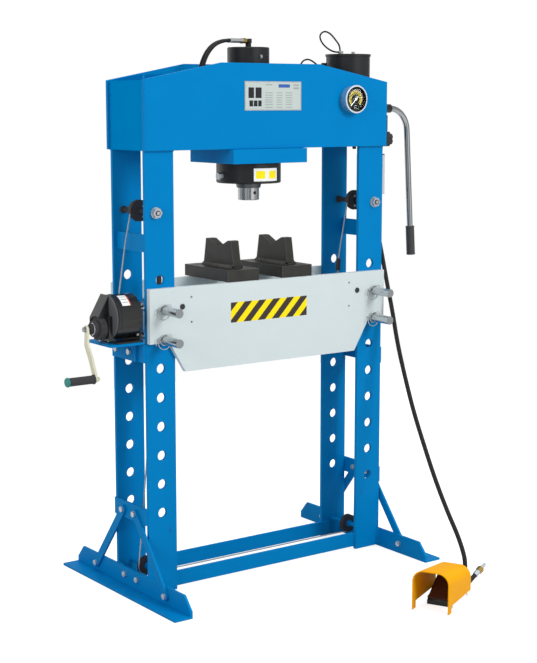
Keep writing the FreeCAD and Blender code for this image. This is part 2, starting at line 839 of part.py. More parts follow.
# Bed plates
pin_rise = mm.pin_rise
low_pin_rise = pin_rise - mm.hole_pitch
pin_hole = mm.pin_radius + mm.pin_play
bed_shape = [
    (-mm.bed_half, mm.bed_top), (-mm.bed_half, mm.wing_low), (-mm.wing_reach, mm.wing_low),
    (-mm.belly_half, mm.belly_low), (mm.belly_half, mm.belly_low), (mm.wing_reach, mm.wing_low),
    (mm.bed_half, mm.wing_low), (mm.bed_half, mm.bed_top)]
bed_inner = mm.bed_face - mm.bed_thick
for name, start in (("bed_front_plate", -mm.bed_face), ("bed_rear_plate", bed_inner)):
    bed = new_body(name)
    finish = start + mm.bed_thick
    pad(bed, "xz", start, finish, bed_shape)
    circles = []
    for sign in SIDES.values():
        circles.append((sign * mm.hole_across, pin_rise, pin_hole))
        circles.append((sign * mm.hole_across, low_pin_rise, pin_hole))
        circles.append((sign * mm.tie_rod_across, mm.tie_rod_rise, mm.tie_rod_radius + 0.1))
        circles.append((sign * mm.dot_across, mm.dot_high, mm.dot_radius))
        circles.append((sign * mm.dot_across, mm.dot_low, mm.dot_radius))
    drill(bed, "xz", start, finish, circles[::5] + circles[2::5] + circles[3::5] + circles[4::5])
    drill(bed, "xz", start, finish, circles[1::5])
    for sign in SIDES.values():
        middle = sign * mm.hole_across
        slot(bed, "xz", start, finish, [
            (middle - pin_hole, mm.wing_low - 20), (middle + pin_hole, mm.wing_low - 20),
            (middle + pin_hole, low_pin_rise), (middle - pin_hole, low_pin_rise)])
members = []
for sign in SIDES.values():
    members.append(rod("y", (sign * mm.tie_rod_across, -mm.bed_face, mm.tie_rod_rise), mm.bed_face * 2, mm.tie_rod_radius))
    near = mm.spacer_across if sign > 0 else -mm.spacer_across - mm.spacer_thick
    members.append(block((near, near + mm.spacer_thick), (-bed_inner, bed_inner), (mm.spacer_low, mm.spacer_high)))
keep("bed_cross_members", group(*members))

# Bed pins, each with a wire clip in front of the bed plate
for side, sign in SIDES.items():
    for level, rise in (("upper", pin_rise), ("lower", low_pin_rise)):
        middle = sign * mm.hole_across
        pin = turned(None, "y", (middle, 0, rise), [
            (-mm.pin_front, 0), (-mm.pin_front, mm.pin_radius - 1), (1 - mm.pin_front, mm.pin_radius),
            (mm.pin_tail - 4, mm.pin_radius), (mm.pin_tail, mm.pin_radius - 4), (mm.pin_tail, 0)])
        clip_place = -mm.clip_front
        snug = ring("y", (middle, clip_place, rise), mm.pin_radius + mm.clip_wire + 0.3, mm.clip_wire)
        loop = ring("y", (middle, clip_place, rise - mm.clip_drop), mm.clip_ring, mm.clip_wire)
        keep(f"bed_pin_{side}_{level}", group(pin, fuse(snug, loop)))

# V blocks: slab, notched plate and weld beads
for side, start in (("left", -mm.slab_left), ("right", mm.slab_right)):
    vee = new_body(f"v_block_{side}")
    slab_top = mm.bed_top + mm.slab_thick
    pad(vee, "xy", mm.bed_top, slab_top, [
        (start, -mm.slab_front), (start + mm.slab_wide, -mm.slab_front),
        (start + mm.slab_wide, mm.slab_back), (start, mm.slab_back)])
    near = start + mm.vee_inset
    top = slab_top + mm.vee_high
    pad(vee, "yz", near, near + mm.vee_thick, [
        (mm.vee_middle - mm.vee_foot_half, slab_top), (mm.vee_middle + mm.vee_foot_half, slab_top),
        (mm.vee_middle + mm.vee_top_half, top), (mm.vee_middle + mm.vee_notch_half, top),
        (mm.vee_middle, top - mm.vee_notch_deep), (mm.vee_middle - mm.vee_notch_half, top),
        (mm.vee_middle - mm.vee_top_half, top)])
    far = near + mm.vee_thick
    for foot, way in ((near, -1), (far, 1)):
        pad(vee, "xz", mm.vee_middle - mm.vee_foot_half, mm.vee_middle + mm.vee_foot_half, [
            (foot, slab_top), (foot + way * mm.vee_weld, slab_top), (foot, slab_top + mm.vee_weld)])

# Carriage: a thick plate under the head, hung on the rails by two lipped side plates
carriage = new_body("carriage_block")
block_top = mm.head_low - mm.block_gap
pad(carriage, "xy", block_top - mm.block_high, block_top, [
    (mm.ram_across - mm.block_half, -mm.block_deep / 2), (mm.ram_across + mm.block_half, -mm.block_deep / 2),
    (mm.ram_across + mm.block_half, mm.block_deep / 2), (mm.ram_across - mm.block_half, mm.block_deep / 2)])
lip_low = rail_high + mm.hanger_play
lip_high = lip_low + mm.hanger_lip_thick
hanger_out = mm.hanger_in + mm.hanger_thick
for way in (-1, 1):
    start, end = (mm.hanger_in, hanger_out) if way > 0 else (-hanger_out, -mm.hanger_in)
    pad(carriage, "xz", start, end, [
        (mm.ram_across - mm.hanger_left, block_top), (mm.ram_across + mm.hanger_right, block_top),
        (mm.ram_across + mm.hanger_right, lip_high), (mm.ram_across - mm.hanger_left, lip_high)])
    start, end = (hanger_out, hanger_out + mm.hanger_lip) if way > 0 else (-hanger_out - mm.hanger_lip, -hanger_out)
    pad(carriage, "xz", start, end, [
        (mm.ram_across - mm.hanger_left, lip_low), (mm.ram_across + mm.hanger_right, lip_low),
        (mm.ram_across + mm.hanger_right, lip_high), (mm.ram_across - mm.hanger_left, lip_high)])
port_left = mm.ram_across - mm.hanger_left
port_right = port_left + mm.port_wide
pad(carriage, "xy", lip_high - mm.port_high, lip_high, [
    (port_left, -mm.hanger_in), (port_right, -mm.hanger_in), (port_right, mm.hanger_in), (port_left, mm.hanger_in)])
drill(carriage, "xy", block_top - mm.block_high, block_top, [(mm.ram_across, 0, mm.barrel_radius + 0.3)])

# Ram barrel with its two hose couplings, flange, gland and rod
flange_top = mm.flange_top
barrel = turned(None, "z", (mm.ram_across, 0, 0), [
    (flange_top, mm.barrel_bore), (flange_top, mm.barrel_radius), (mm.barrel_top - 3, mm.barrel_radius),
    (mm.barrel_top, mm.barrel_radius - 3), (mm.barrel_top, 0), (mm.bore_top, 0), (mm.bore_top, mm.barrel_bore)])
elbow_x = mm.ram_across
fittings = [barrel]
hex_x = elbow_x - mm.hex_end
ferrule_x = elbow_x - mm.ferrule_end
for way in (-1, 1):
    y = way * mm.elbow_spread
    fittings.append(rod("z", (elbow_x, y, mm.barrel_top - 2), mm.elbow_stand + 2, mm.elbow_radius - 2))
    fittings.append(rod("z", (elbow_x, y, mm.elbow_rise - mm.elbow_radius), mm.elbow_radius * 2, mm.elbow_radius))
    fittings.append(rod("x", (hex_x, y, mm.elbow_rise), elbow_x - hex_x, mm.elbow_radius - 1))
    fittings.append(hexagon("x", (hex_x, y, mm.elbow_rise), 13, mm.hex_across))
    fittings.append(rod("x", (ferrule_x, y, mm.elbow_rise), hex_x - ferrule_x + 1, mm.ferrule_radius))
bleeder_rise = mm.barrel_top - mm.elbow_stand * 1.5
fittings.append(rod("y", (mm.ram_across, -mm.barrel_radius - 8, bleeder_rise), 12, 4))
fittings.append(hexagon("y", (mm.ram_across, -mm.barrel_radius - 4, bleeder_rise), 6, 12))
keep("ram_barrel", fuse(*fittings))

plug = hexagon("x", (mm.ram_across - mm.flange_radius - 18, 0, mm.flange_low + 26), 30, 22)
flange = turned(None, "z", (mm.ram_across, 0, 0), [
    (mm.flange_low, mm.gland_radius + 0.1), (mm.flange_low, mm.flange_radius - 3), (mm.flange_low + 3, mm.flange_radius),
    (flange_top - 3, mm.flange_radius), (flange_top, mm.flange_radius - 3), (flange_top, mm.gland_radius + 0.1)])
gland = turned(None, "z", (mm.ram_across, 0, 0), [
    (mm.gland_low, mm.rod_radius + mm.rod_play), (mm.gland_low, mm.gland_radius - 3),
    (mm.gland_low + mm.gland_taper, mm.gland_radius), (flange_top, mm.gland_radius),
    (flange_top, mm.rod_radius + mm.rod_play)])
keep("ram_flange", group(fuse(flange, plug), gland))
ram = turned("ram_rod", "z", (mm.ram_across, 0, 0), [
    (mm.rod_low, 0), (mm.rod_low, mm.rod_radius - 2), (mm.rod_low + 2, mm.rod_radius),
    (mm.rod_low + 8, mm.rod_radius), (mm.rod_low + 8, mm.rod_radius - mm.rod_groove),
    (mm.rod_low + 11, mm.rod_radius - mm.rod_groove), (mm.rod_low + 11, mm.rod_radius),
    (mm.piston_low, mm.rod_radius), (mm.piston_low, mm.barrel_bore - mm.rod_play),
    (mm.piston_high, mm.barrel_bore - mm.rod_play), (mm.piston_high, 0)])
drill(ram, "xz", -mm.rod_radius - 1, mm.rod_radius + 1, [(mm.ram_across, mm.rod_hole_rise, mm.rod_hole_radius)])

# Hoses from the couplings over to the left and down to the carriage's port bar
for name, way in (("ram_hose_front", -1), ("ram_hose_rear", 1)):
    y = way * mm.elbow_spread
    start_x = float(ferrule_x)
    hose(name, [
        vec(start_x, y, mm.elbow_rise),
        vec(start_x - 22, y, mm.elbow_rise),
        vec(start_x - 67, y, mm.elbow_rise - 16),
        vec(start_x - 101, y, mm.elbow_rise - 56),
        vec(start_x - 119, y, mm.elbow_rise - 110),
        vec(start_x - 127, y, mm.elbow_rise - 170),
        vec(start_x - 131, y, mm.elbow_rise - 230),
        vec(port_left + mm.port_wide / 2, y, mm.elbow_rise - 282),
        vec(port_left + mm.port_wide / 2, y, lip_high)], float(mm.hose_radius))

# Reservoir with its rim, cap fittings and side ports
tank_low = tray_top
tank = turned(None, "z", (mm.tank_across, 0, 0), [
    (tank_low, 0), (tank_low, mm.tank_radius), (mm.tank_top - 8, mm.tank_radius),
    (mm.tank_top - 8, mm.tank_radius + mm.tank_rim), (mm.tank_top, mm.tank_radius + mm.tank_rim), (mm.tank_top, 0)])
cap_x = mm.tank_across - 34
port_y = mm.tank_radius * 0.75
fill = rod("z", (cap_x, 0, mm.tank_top - 2), 14, 9)
side_nipple = rod("x", (cap_x - 16, -5, mm.tank_top + 7), 10, 4)
screw = hexagon("z", (mm.tank_across + 24, 0, mm.tank_top - 2), 12, 12)
port_high = rod("x", (mm.tank_across - mm.tank_radius * 0.9, port_y, mm.tank_top - 42), mm.tank_radius * 0.3, 12)
port_low = rod("x", (mm.tank_across - mm.tank_radius * 0.825, port_y, mm.tank_top - 168), mm.tank_radius * 0.225, 8)
keep("reservoir", fuse(tank, fill, side_nipple, screw, port_high, port_low))
loop_x = float(cap_x)
loop_z = float(mm.tank_top)
hose("loop_tube", [
    vec(loop_x, 5, loop_z + 12),
    vec(loop_x, 5, loop_z + 30),
    vec(loop_x - 20, 7, loop_z + 52),
    vec(loop_x - 44, 7, loop_z + 74),
    vec(loop_x - 74, 5, loop_z + 82),
    vec(loop_x - 98, 2, loop_z + 66),
    vec(loop_x - 92, -1, loop_z + 42),
    vec(loop_x - 70, -3, loop_z + 22),
    vec(loop_x - 38, -5, loop_z + 7),
    vec(loop_x - 16, -5, loop_z + 7)], 3)
port_x = float(mm.tank_across - mm.tank_radius * 0.9)
port_z = float(mm.tank_top - 42)
hose("return_hose", [
    vec(port_x, port_y, port_z),
    vec(port_x - 20, port_y, port_z),
    vec(port_x - 48, port_y, port_z + 19),
    vec(port_x - 74, port_y, port_z + 25),
    vec(port_x - 98, port_y, port_z + 12),
    vec(port_x - 108, port_y, port_z - 18),
    vec(port_x - 104, port_y, port_z - 54),
    vec(port_x - 82, port_y, port_z - 88),
    vec(port_x - 48, port_y, port_z - 112),
    vec(port_x - 18, port_y, port_z - 126),
    vec(port_x + 6, port_y, port_z - 126)], 3)

# Pump block outside the right end plate, with the lever's fork and the release valve's bore
pump_right = mm.frame_half + mm.pump_deep
lever_y = -mm.lever_front
pump = block((right_edge, pump_right), (lever_y - mm.pump_half, lever_y + mm.pump_half), (mm.pump_low, mm.pump_high))
cheeks = [block((right_edge + 6, pump_right), (start, start + 8), (mm.pump_high - 1, mm.lever_rise + 14))
          for start in (lever_y - 24, lever_y + 16)]
lever_pin = rod("y", (mm.lever_across, lever_y - 28, mm.lever_rise), 56, 5)
bore = rod("x", (right_edge + 8, lever_y, mm.knob_rise), mm.pump_deep, 8.1)
keep("pump_body", cut(fuse(pump, *cheeks, lever_pin), bore))
heel = block((mm.lever_across - 14, mm.lever_across + 14), (lever_y - 15, lever_y + 15), (mm.lever_rise - 15, mm.lever_rise + 15))
socket = rod("x", (mm.lever_across + 10, lever_y, mm.lever_rise), mm.socket_end - mm.lever_across - 10, mm.socket_radius)
pivot_bore = rod("y", (mm.lever_across, lever_y - 16, mm.lever_rise), 32, 5.1)
tube_start = mm.lever_across + 24
socket_bore = rod("x", (tube_start, lever_y, mm.lever_rise), mm.socket_end - tube_start + 1, mm.lever_radius + 0.05)
keep("lever_socket", cut(fuse(heel, socket), pivot_bore, socket_bore))
bend_in = vec(mm.lever_corner, lever_y, mm.lever_rise)
lever_end = vec(mm.lever_end_across, lever_y, mm.lever_end_rise)
fall = (lever_end - bend_in).normalize()
grip_top = lever_end - fall * float(mm.grip_long)
tube_end = lever_end - fall * 12
keep("lever_tube", made(swept([vec(tube_start, lever_y, mm.lever_rise), bend_in, tube_end],
                              [float(mm.lever_bend)], float(mm.lever_radius), "lever_tube")))
grip = Part.makeCylinder(float(mm.grip_radius), float(mm.grip_long), grip_top, fall)
grip = grip.cut(Part.makeCylinder(float(mm.lever_radius) + 0.05, float(mm.grip_long) - 12, grip_top, fall))
keep("lever_grip", made(grip))

spindle = rod("x", (right_edge + 12, lever_y, mm.knob_rise), mm.knob_start - right_edge - 11, 8)
knob = rod("x", (mm.knob_start, lever_y, mm.knob_rise), mm.knob_end - mm.knob_start, mm.knob_radius)
scallops = []
for place in range(6):
    angle = math.radians(60 * place)
    y = lever_y + math.cos(angle) * (mm.knob_radius + 4)
    z = mm.knob_rise + math.sin(angle) * (mm.knob_radius + 4)
    scallops.append(rod("x", (mm.knob_start - 1, y, z), mm.knob_end - mm.knob_start + 2, 8))
keep("release_knob", fuse(cut(knob, *scallops), spindle))

# Gauge: case with bezel lip, glass and needle
gauge_centre = (mm.gauge_across, 0, mm.gauge_rise)
dial = 7
turned("gauge_case", "y", gauge_centre, [
    (-mm.head_face, 0), (-mm.head_face, mm.gauge_radius), (11 - mm.gauge_front, mm.gauge_radius),
    (11 - mm.gauge_front, mm.gauge_bezel), (1 - mm.gauge_front, mm.gauge_bezel),
    (-mm.gauge_front, mm.gauge_bezel - 1), (-mm.gauge_front, mm.gauge_bezel - 7),
    (2 - mm.gauge_front, mm.gauge_bezel - 8), (dial - mm.gauge_front, mm.gauge_bezel - 8),
    (dial - mm.gauge_front, 0)])
keep("gauge_glass", rod("y", (mm.gauge_across, 2 - mm.gauge_front, mm.gauge_rise), 1.2, mm.gauge_bezel - 8.05))
hub = rod("y", (mm.gauge_across, 4 - mm.gauge_front, mm.gauge_rise), 2.7, 4)
hand = block((mm.gauge_across - 1.5, mm.gauge_across + 1.5), (4.2 - mm.gauge_front, 5.2 - mm.gauge_front),
             (mm.gauge_rise - 34, mm.gauge_rise + 14))
hand.Placement = Placement(Vector(), Rotation(Vector(0, 1, 0), 45))
for letter, value in zip("xyz", (mm.gauge_across + 34 * math.sin(math.radians(-45)) - 1.5 * math.cos(math.radians(45)),
                                 4.2 - mm.gauge_front,
                                 mm.gauge_rise - 34 * math.cos(math.radians(45)) + 1.5 * math.sin(math.radians(45)))):
    bind(hand, f".Placement.Base.{letter}", value)
keep("gauge_needle", fuse(hub, hand))

# Winch: bracket, frame with shaft, cover, drum and crank
bracket = new_body("winch_bracket")
flange_out = -tie_outer - mm.tie_thick
shelf_low = mm.shelf_rise - mm.tie_thick
pad(bracket, "xz", -mm.tie_half + 41, mm.tie_half - 14, [
    (flange_out, mm.left_tie_low), (-tie_outer, mm.left_tie_low), (-tie_outer, shelf_low + 1), (flange_out, shelf_low + 1)])
pad(bracket, "xz", -mm.tie_half, mm.tie_half - 50, [
    (-mm.shelf_left, shelf_low), (-tie_outer, shelf_low), (-tie_outer, mm.shelf_rise), (-mm.shelf_left, mm.shelf_rise)])
drill(bracket, "yz", flange_out, -tie_outer, [
    (mm.foot_bolt_out * 1.5, mm.left_tie_low + 30, bolt_hole), (-mm.foot_bolt_out * 0.6, mm.left_tie_low + 30, bolt_hole)])
winch_y = -mm.winch_front
plate_right = 1 - mm.drum_cover_right
frame_plate = block((plate_right, plate_right + 6), (winch_y - 55, winch_y + 55), (mm.shelf_rise, mm.winch_rise + 48))
base_plate = block((-mm.drum_cover_left + 6, plate_right + 1), (winch_y - 55, winch_y + 55), (mm.shelf_rise, mm.shelf_rise + 6))
shaft = rod("x", (-mm.drum_cover_left - 8, winch_y, mm.winch_rise), mm.drum_cover_left + 8 + plate_right + 10, 8)
stays = [rod("x", (plate_right + 5, winch_y - 45, z), 14, 6) for z in (mm.winch_rise + 34, mm.winch_rise - 60)]
keep("winch_frame", fuse(frame_plate, base_plate, shaft, *stays))

cover_in = mm.drum_cover_radius - mm.drum_cover_wall
drum_cover = turned(None, "x", (0, winch_y, mm.winch_rise), [
    (-mm.drum_cover_left, 8.2), (-mm.drum_cover_left, mm.drum_cover_radius - 5),
    (5 - mm.drum_cover_left, mm.drum_cover_radius), (-mm.drum_cover_right, mm.drum_cover_radius),
    (-mm.drum_cover_right, cover_in), (mm.drum_cover_wall - mm.drum_cover_left, cover_in),
    (mm.drum_cover_wall - mm.drum_cover_left, 8.2)])
snout = doc.addObject("PartDesign::Body", "snout")
crank_y = winch_y
cheek_left = -mm.drum_cover_left - mm.cheek_thick
snout_left = -mm.drum_cover_left - mm.snout_out
pad(snout, "xz", -mm.snout_front, -mm.snout_back, [
    (-mm.drum_cover_left, mm.winch_rise + mm.drum_cover_radius), (-mm.drum_cover_left - 3, mm.winch_rise + mm.drum_cover_radius),
    (snout_left, mm.winch_rise), (snout_left, mm.crank_rise + 8), (cheek_left, mm.crank_rise + 8), (cheek_left, mm.crank_rise),
    (-mm.drum_cover_left, mm.crank_rise)])
cheek_half = mm.hub_radius + 2
pad(snout, "xz", crank_y - cheek_half, crank_y + cheek_half, [
    (-mm.drum_cover_left, mm.crank_rise + cheek_half), (cheek_left, mm.crank_rise + cheek_half),
    (cheek_left, mm.crank_rise - cheek_half), (-mm.drum_cover_left, mm.crank_rise - cheek_half)])
hub_room = rod("x", (snout_left - 1, crank_y, mm.crank_rise), mm.snout_out - mm.cheek_thick + 1, mm.hub_radius + 1.5)
cable_slot = block((-mm.drum_cover_left + 12, -mm.drum_cover_right - 12), (winch_y + 12, winch_y + 34),
                   (mm.winch_rise + 30, mm.winch_rise + mm.drum_cover_radius + 5))
base_slot = block((-mm.drum_cover_left + 5, -mm.drum_cover_right + 1), (winch_y - 56, winch_y + 56),
                  (mm.shelf_rise - 1, mm.shelf_rise + 7))
shaft_bore = rod("x", (-mm.drum_cover_left - 9, winch_y, mm.winch_rise), 20, 8.2)
crank_bore = rod("x", (cheek_left - 1, crank_y, mm.crank_rise), mm.cheek_thick - 3, 8.2)
keep("winch_cover", cut(fuse(drum_cover, snout), cable_slot, base_slot, shaft_bore, crank_bore, hub_room))
flange_left = -mm.drum_cover_left + 14
flange_right = -mm.drum_cover_right - 6
drum = turned(None, "x", (0, winch_y, mm.winch_rise), [
    (flange_left, 8.1), (flange_left, mm.drum_flange), (flange_left + 4, mm.drum_flange),
    (flange_left + 4, mm.drum_radius), (flange_right - 4, mm.drum_radius), (flange_right - 4, mm.drum_flange),
    (flange_right, mm.drum_flange), (flange_right, 8.1)])

# Crank: shaft, ribbed hub, bent arm and free-turning grip
crank_shaft = rod("x", (-mm.crank_out - 7, crank_y, mm.crank_rise), mm.crank_out + 7 - mm.drum_cover_left - 6, 8)
hub = rod("x", (-mm.hub_left, crank_y, mm.crank_rise), mm.hub_left - mm.hub_right, mm.hub_radius)
hub_steps = [
    rod("x", (-mm.hub_left - mm.hub_step, crank_y, mm.crank_rise), mm.hub_step + 1, mm.hub_radius * 0.7),
    rod("x", (-mm.hub_left - mm.hub_step * 1.8, crank_y, mm.crank_rise), mm.hub_step, mm.hub_radius * 0.42)]
flutes = []
for place in range(12):
    angle = math.radians(30 * place)
    y = crank_y + math.cos(angle) * (mm.hub_radius + 1)
    z = mm.crank_rise + math.sin(angle) * (mm.hub_radius + 1)
    flutes.append(rod("x", (-mm.hub_left - 1, y, z), mm.hub_left - mm.hub_right - 8, 3.5))
keep("crank_hub", fuse(cut(hub, *flutes), *hub_steps, crank_shaft))
lean = math.radians(float(mm.crank_lean))
along = Vector(0, -math.sin(lean), -math.cos(lean))
sideways = Vector(0, -math.cos(lean), math.sin(lean))
arm_root = vec(0, crank_y, mm.crank_rise)
reach = float(mm.crank_long)
inner_side = [(-14, -float(mm.crank_out) + 9), (12, -float(mm.crank_out) + 9), (52, -float(mm.crank_out) + 1),
              (100, -float(mm.crank_out) + 8), (reach - 20, -float(mm.crank_grip_start) + 0.5),
              (reach + 12, -float(mm.crank_grip_start) + 0.5)]
thick = float(mm.crank_thick)
outer_side = [(place, x - thick) for place, x in reversed(inner_side)]
corners = [arm_root + along * place + Vector(x, 0, 0) - sideways * (float(mm.crank_wide) / 2)
           for place, x in inner_side + outer_side]
strip = Part.Face(Part.makePolygon(corners + corners[:1])).extrude(sideways * float(mm.crank_wide))
zone_start = Vector(-float(mm.crank_out) - 25, 0, 0)
keep_zone = Part.makeCylinder(float(mm.crank_wide) / 2 + 2, 60, arm_root + zone_start, Vector(1, 0, 0))
tip = arm_root + along * reach
tip_zone = Part.makeCylinder(float(mm.crank_wide) / 2, 60, tip + zone_start, Vector(1, 0, 0))
middle_zone = Part.makeBox(60, float(mm.crank_wide), reach)
middle_zone.Placement = Placement(arm_root + zone_start + along * reach - sideways * (-float(mm.crank_wide) / 2),
                                  Rotation(Vector(1, 0, 0), -float(mm.crank_lean)))
strip = strip.common(keep_zone.fuse([tip_zone, middle_zone]))
strip = strip.cut(Part.makeCylinder(8.05, 60, arm_root + zone_start, Vector(1, 0, 0)))
strip = strip.cut(Part.makeCylinder(5.05, 60, tip + zone_start, Vector(1, 0, 0)))
tip_y = crank_y - mm.crank_long * math.sin(lean)
tip_z = mm.crank_rise - mm.crank_long * math.cos(lean)
grip_bolt = rod("x", (-mm.crank_grip_end + 8, tip_y, tip_z), mm.crank_grip_end - 8 - mm.crank_grip_start + 12, 5)
bolt_end = hexagon("x", (-mm.crank_grip_start + 0.6, tip_y, tip_z), 7, 14)
keep("crank_arm", group(made(strip), fuse(grip_bolt, bolt_end)))
grip_start = mm.crank_grip_start + mm.crank_thick + 0.5
turned("crank_grip", "x", (0, tip_y, tip_z), [
    (-mm.crank_grip_end, 0), (-mm.crank_grip_end, mm.crank_grip_radius), (3 - mm.crank_grip_end, mm.crank_grip_radius + 2),
    (7 - mm.crank_grip_end, mm.crank_grip_radius + 2), (7 - mm.crank_grip_end, mm.crank_grip_radius),
    (-grip_start - 6, mm.crank_grip_radius), (-grip_start - 4, mm.crank_grip_radius + 2),
    (-grip_start, mm.crank_grip_radius + 2), (-grip_start, 5.1), (7.8 - mm.crank_grip_end, 5.1), (7.8 - mm.crank_grip_end, 0)])

# Pulleys and their axles
spots = {
    "pulley_upper_left": (-mm.pulley_upper_across, -mm.cable_side, mm.pulley_upper_rise),
    "pulley_upper_right": (mm.pulley_upper_across, mm.cable_side, mm.pulley_upper_rise),
    "pulley_lower_left": (-mm.pulley_lower_across, mm.cable_side, mm.pulley_lower_rise),
    "pulley_lower_right": (mm.pulley_lower_across, mm.cable_side, mm.pulley_lower_rise),
}
for name, centre in spots.items():
    turned(name, "y", centre, [
        (-mm.pulley_half, mm.axle_radius + 0.08), (-mm.pulley_half, mm.pulley_radius),
        (1.5 - mm.pulley_half, mm.pulley_radius), (-mm.cable_radius, mm.pulley_groove),
        (mm.cable_radius, mm.pulley_groove), (mm.pulley_half - 1.5, mm.pulley_radius),
        (mm.pulley_half, mm.pulley_radius), (mm.pulley_half, mm.axle_radius + 0.08)])
axles = []
for name, (x, y, z) in spots.items():
    collar = mm.axle_head
    near = rod("y", (x, y - mm.pulley_half - 6, z), 5.8, collar)
    behind = rod("y", (x, y + mm.pulley_half + 0.2, z), 5.8, collar)
    if "upper" in name:
        axle = rod("y", (x, -mm.axle_front, z), mm.axle_front + post_inner, mm.axle_radius)
        washer = rod("y", (x, -mm.post_face - 4, z), 4, 19)
        nut = hexagon("y", (x, -mm.post_face - 17, z), 14, mm.axle_nut)
        axles.append(fuse(axle, washer, nut, near, behind))
    else:
        axles.append(fuse(rod("y", (x, -post_inner, z), post_inner * 2, mm.axle_radius), near, behind))
keep("pulley_axles", group(*axles))


def tangent(first, first_radius, second, second_radius, turn):
    """Straight cable run between two circles; turn is 1 when the cable goes round them clockwise."""
    gap = second - first
    unit = Vector(gap).normalize()
    square = Vector(-unit.z, 0, unit.x) * turn
    sine = (first_radius - second_radius) / gap.Length
    normal = unit * sine + square * math.sqrt(1 - sine * sine)
    return first + normal * first_radius, second + normal * second_radius


def crossing(run, following):
    """The point where two straight runs in one X-Z plane would meet."""
    (a, b), (c, d) = run, following
    first = b - a
    second = d - c
    scale = (second.x * (a.z - c.z) - second.z * (a.x - c.x)) / (second.z * first.x - second.x * first.z)
    return a + first * scale


def round_pulleys(start, wheels, end, turn):
    """Corner points of a cable from start round the wheels to end, all in one plane."""
    stops = [(start, 0.0)] + wheels + [(end, 0.0)]
    runs = [tangent(a, ra, b, rb, turn) for (a, ra), (b, rb) in zip(stops, stops[1:])]
    return [start] + [crossing(one, two) for one, two in zip(runs, runs[1:])] + [end]


cable_turn = float(mm.pulley_groove) + float(mm.cable_radius)
hook_turn = float(mm.tie_rod_radius) + float(mm.cable_radius) + 0.3
drum_top = vec(-(mm.drum_cover_left + mm.drum_cover_right) / 2 + 2, winch_y + mm.wrap_radius - mm.cable_radius, mm.winch_rise)


def hook(start, centre, turn, up):
    """A wire hook: straight from the start, half round the bed's tie rod and a short way back."""
    first = tangent(start, 0.0, centre, hook_turn, turn)[1]
    away = centre + Vector(-turn * up * 8.0, 0, up * 40)
    last = tangent(centre, hook_turn, away, 0.0, turn)[0]
    edges = [
        Part.LineSegment(start, first).toShape(),
        Part.Arc(first, centre + Vector(0, 0, -up * hook_turn), last).toShape(),
        Part.LineSegment(last, last + (away - last).normalize() * 10).toShape()]
    section = Part.Wire(Part.Circle(start, (first - start).normalize(), float(mm.cable_radius)).toShape())
    return Part.Wire(edges).makePipeShell([section], True, False)


plane = -mm.cable_side
wheel = vec(-mm.pulley_upper_across, plane, mm.pulley_upper_rise)
rod_spot = vec(-mm.tie_rod_across, plane, mm.tie_rod_rise)
side_spot = rod_spot + Vector(-14, 0, 105)
aim = vec(drum_top.x, plane, mm.winch_rise)
corners = round_pulleys(aim, [(wheel, cable_turn)], side_spot, 1)
climb = (corners[1] - aim).normalize()
run = (tangent(aim, 0.0, wheel, cable_turn, 1)[1] - aim).Length
join_spot = aim + climb * run * 0.66
route = [drum_top, join_spot, corners[1], corners[2]]
cable = swept(route, [run, cable_turn], float(mm.cable_radius), "lift_cable_left")
sleeve_way = (rod_spot + Vector(-hook_turn - 2, 0, 55) - side_spot).normalize()
sleeve = Part.makeCylinder(float(mm.sleeve_radius), float(mm.sleeve_long), side_spot + sleeve_way, sleeve_way)
hook_bar = hook(side_spot + sleeve_way * (float(mm.sleeve_long) + 1), rod_spot, -1, 1)
wrap_left = flange_left.value + 6
wrap = Part.makeCylinder(float(mm.wrap_radius), flange_right.value - 6 - wrap_left,
                         vec(wrap_left, winch_y, mm.winch_rise), Vector(1, 0, 0))
wrap = wrap.cut(Part.makeCylinder(float(mm.drum_radius) + 0.1, 200, vec(wrap_left - 5, winch_y, mm.winch_rise), Vector(1, 0, 0)))
keep("winch_drum", group(drum, made(wrap)))
clear_wrap = Part.makeCylinder(float(mm.wrap_radius) + 0.2, 200, vec(wrap_left - 5, winch_y, mm.winch_rise), Vector(1, 0, 0))
keep("lift_cable_left", made(Part.makeCompound([cable.cut(clear_wrap), sleeve, hook_bar])))

plane = mm.cable_side
low_left = vec(-mm.pulley_lower_across, plane, mm.pulley_lower_rise)
low_right = vec(mm.pulley_lower_across, plane, mm.pulley_lower_rise)
high_right = vec(mm.pulley_upper_across, plane, mm.pulley_upper_rise)
left_rod = vec(-mm.tie_rod_across, plane, mm.tie_rod_rise)
right_rod = vec(mm.tie_rod_across, plane, mm.tie_rod_rise)
side_spot = right_rod + Vector(18, 0, 105)
wheels = [(low_left, cable_turn), (low_right, cable_turn), (high_right, cable_turn)]
corners = round_pulleys(left_rod + Vector(-hook_turn - 3, 0, -20), wheels, side_spot, -1)
cable = swept(corners, [cable_turn] * 3, float(mm.cable_radius), "lift_cable_right")
sleeve_way = (right_rod + Vector(hook_turn + 2, 0, 55) - side_spot).normalize()
sleeve = Part.makeCylinder(float(mm.sleeve_radius), float(mm.sleeve_long), side_spot + sleeve_way, sleeve_way)
hook_bar = hook(side_spot + sleeve_way * (float(mm.sleeve_long) + 1), right_rod, 1, 1)
lower_bar = hook(corners[0], left_rod, 1, -1)
keep("lift_cable_right", made(Part.makeCompound([cable, sleeve, hook_bar, lower_bar])))

# Air valve behind the right front post
valve = block((mm.valve_left, mm.valve_right), (-mm.valve_front, -mm.valve_back), (mm.valve_low, mm.valve_high))
hose_exit = (mm.valve_right - 14, -mm.valve_front + 24)
gland = rod("z", (hose_exit[0], hose_exit[1], mm.valve_low - 14), 15, mm.pedal_hose_radius + 2)
keep("air_valve", fuse(valve, gland))

# Foot pedal, built along its own axis and then turned on the floor
pedal_place = Placement(vec(mm.pedal_across, -mm.pedal_front, 0), Rotation(Vector(0, 0, 1), float(mm.pedal_turn)))


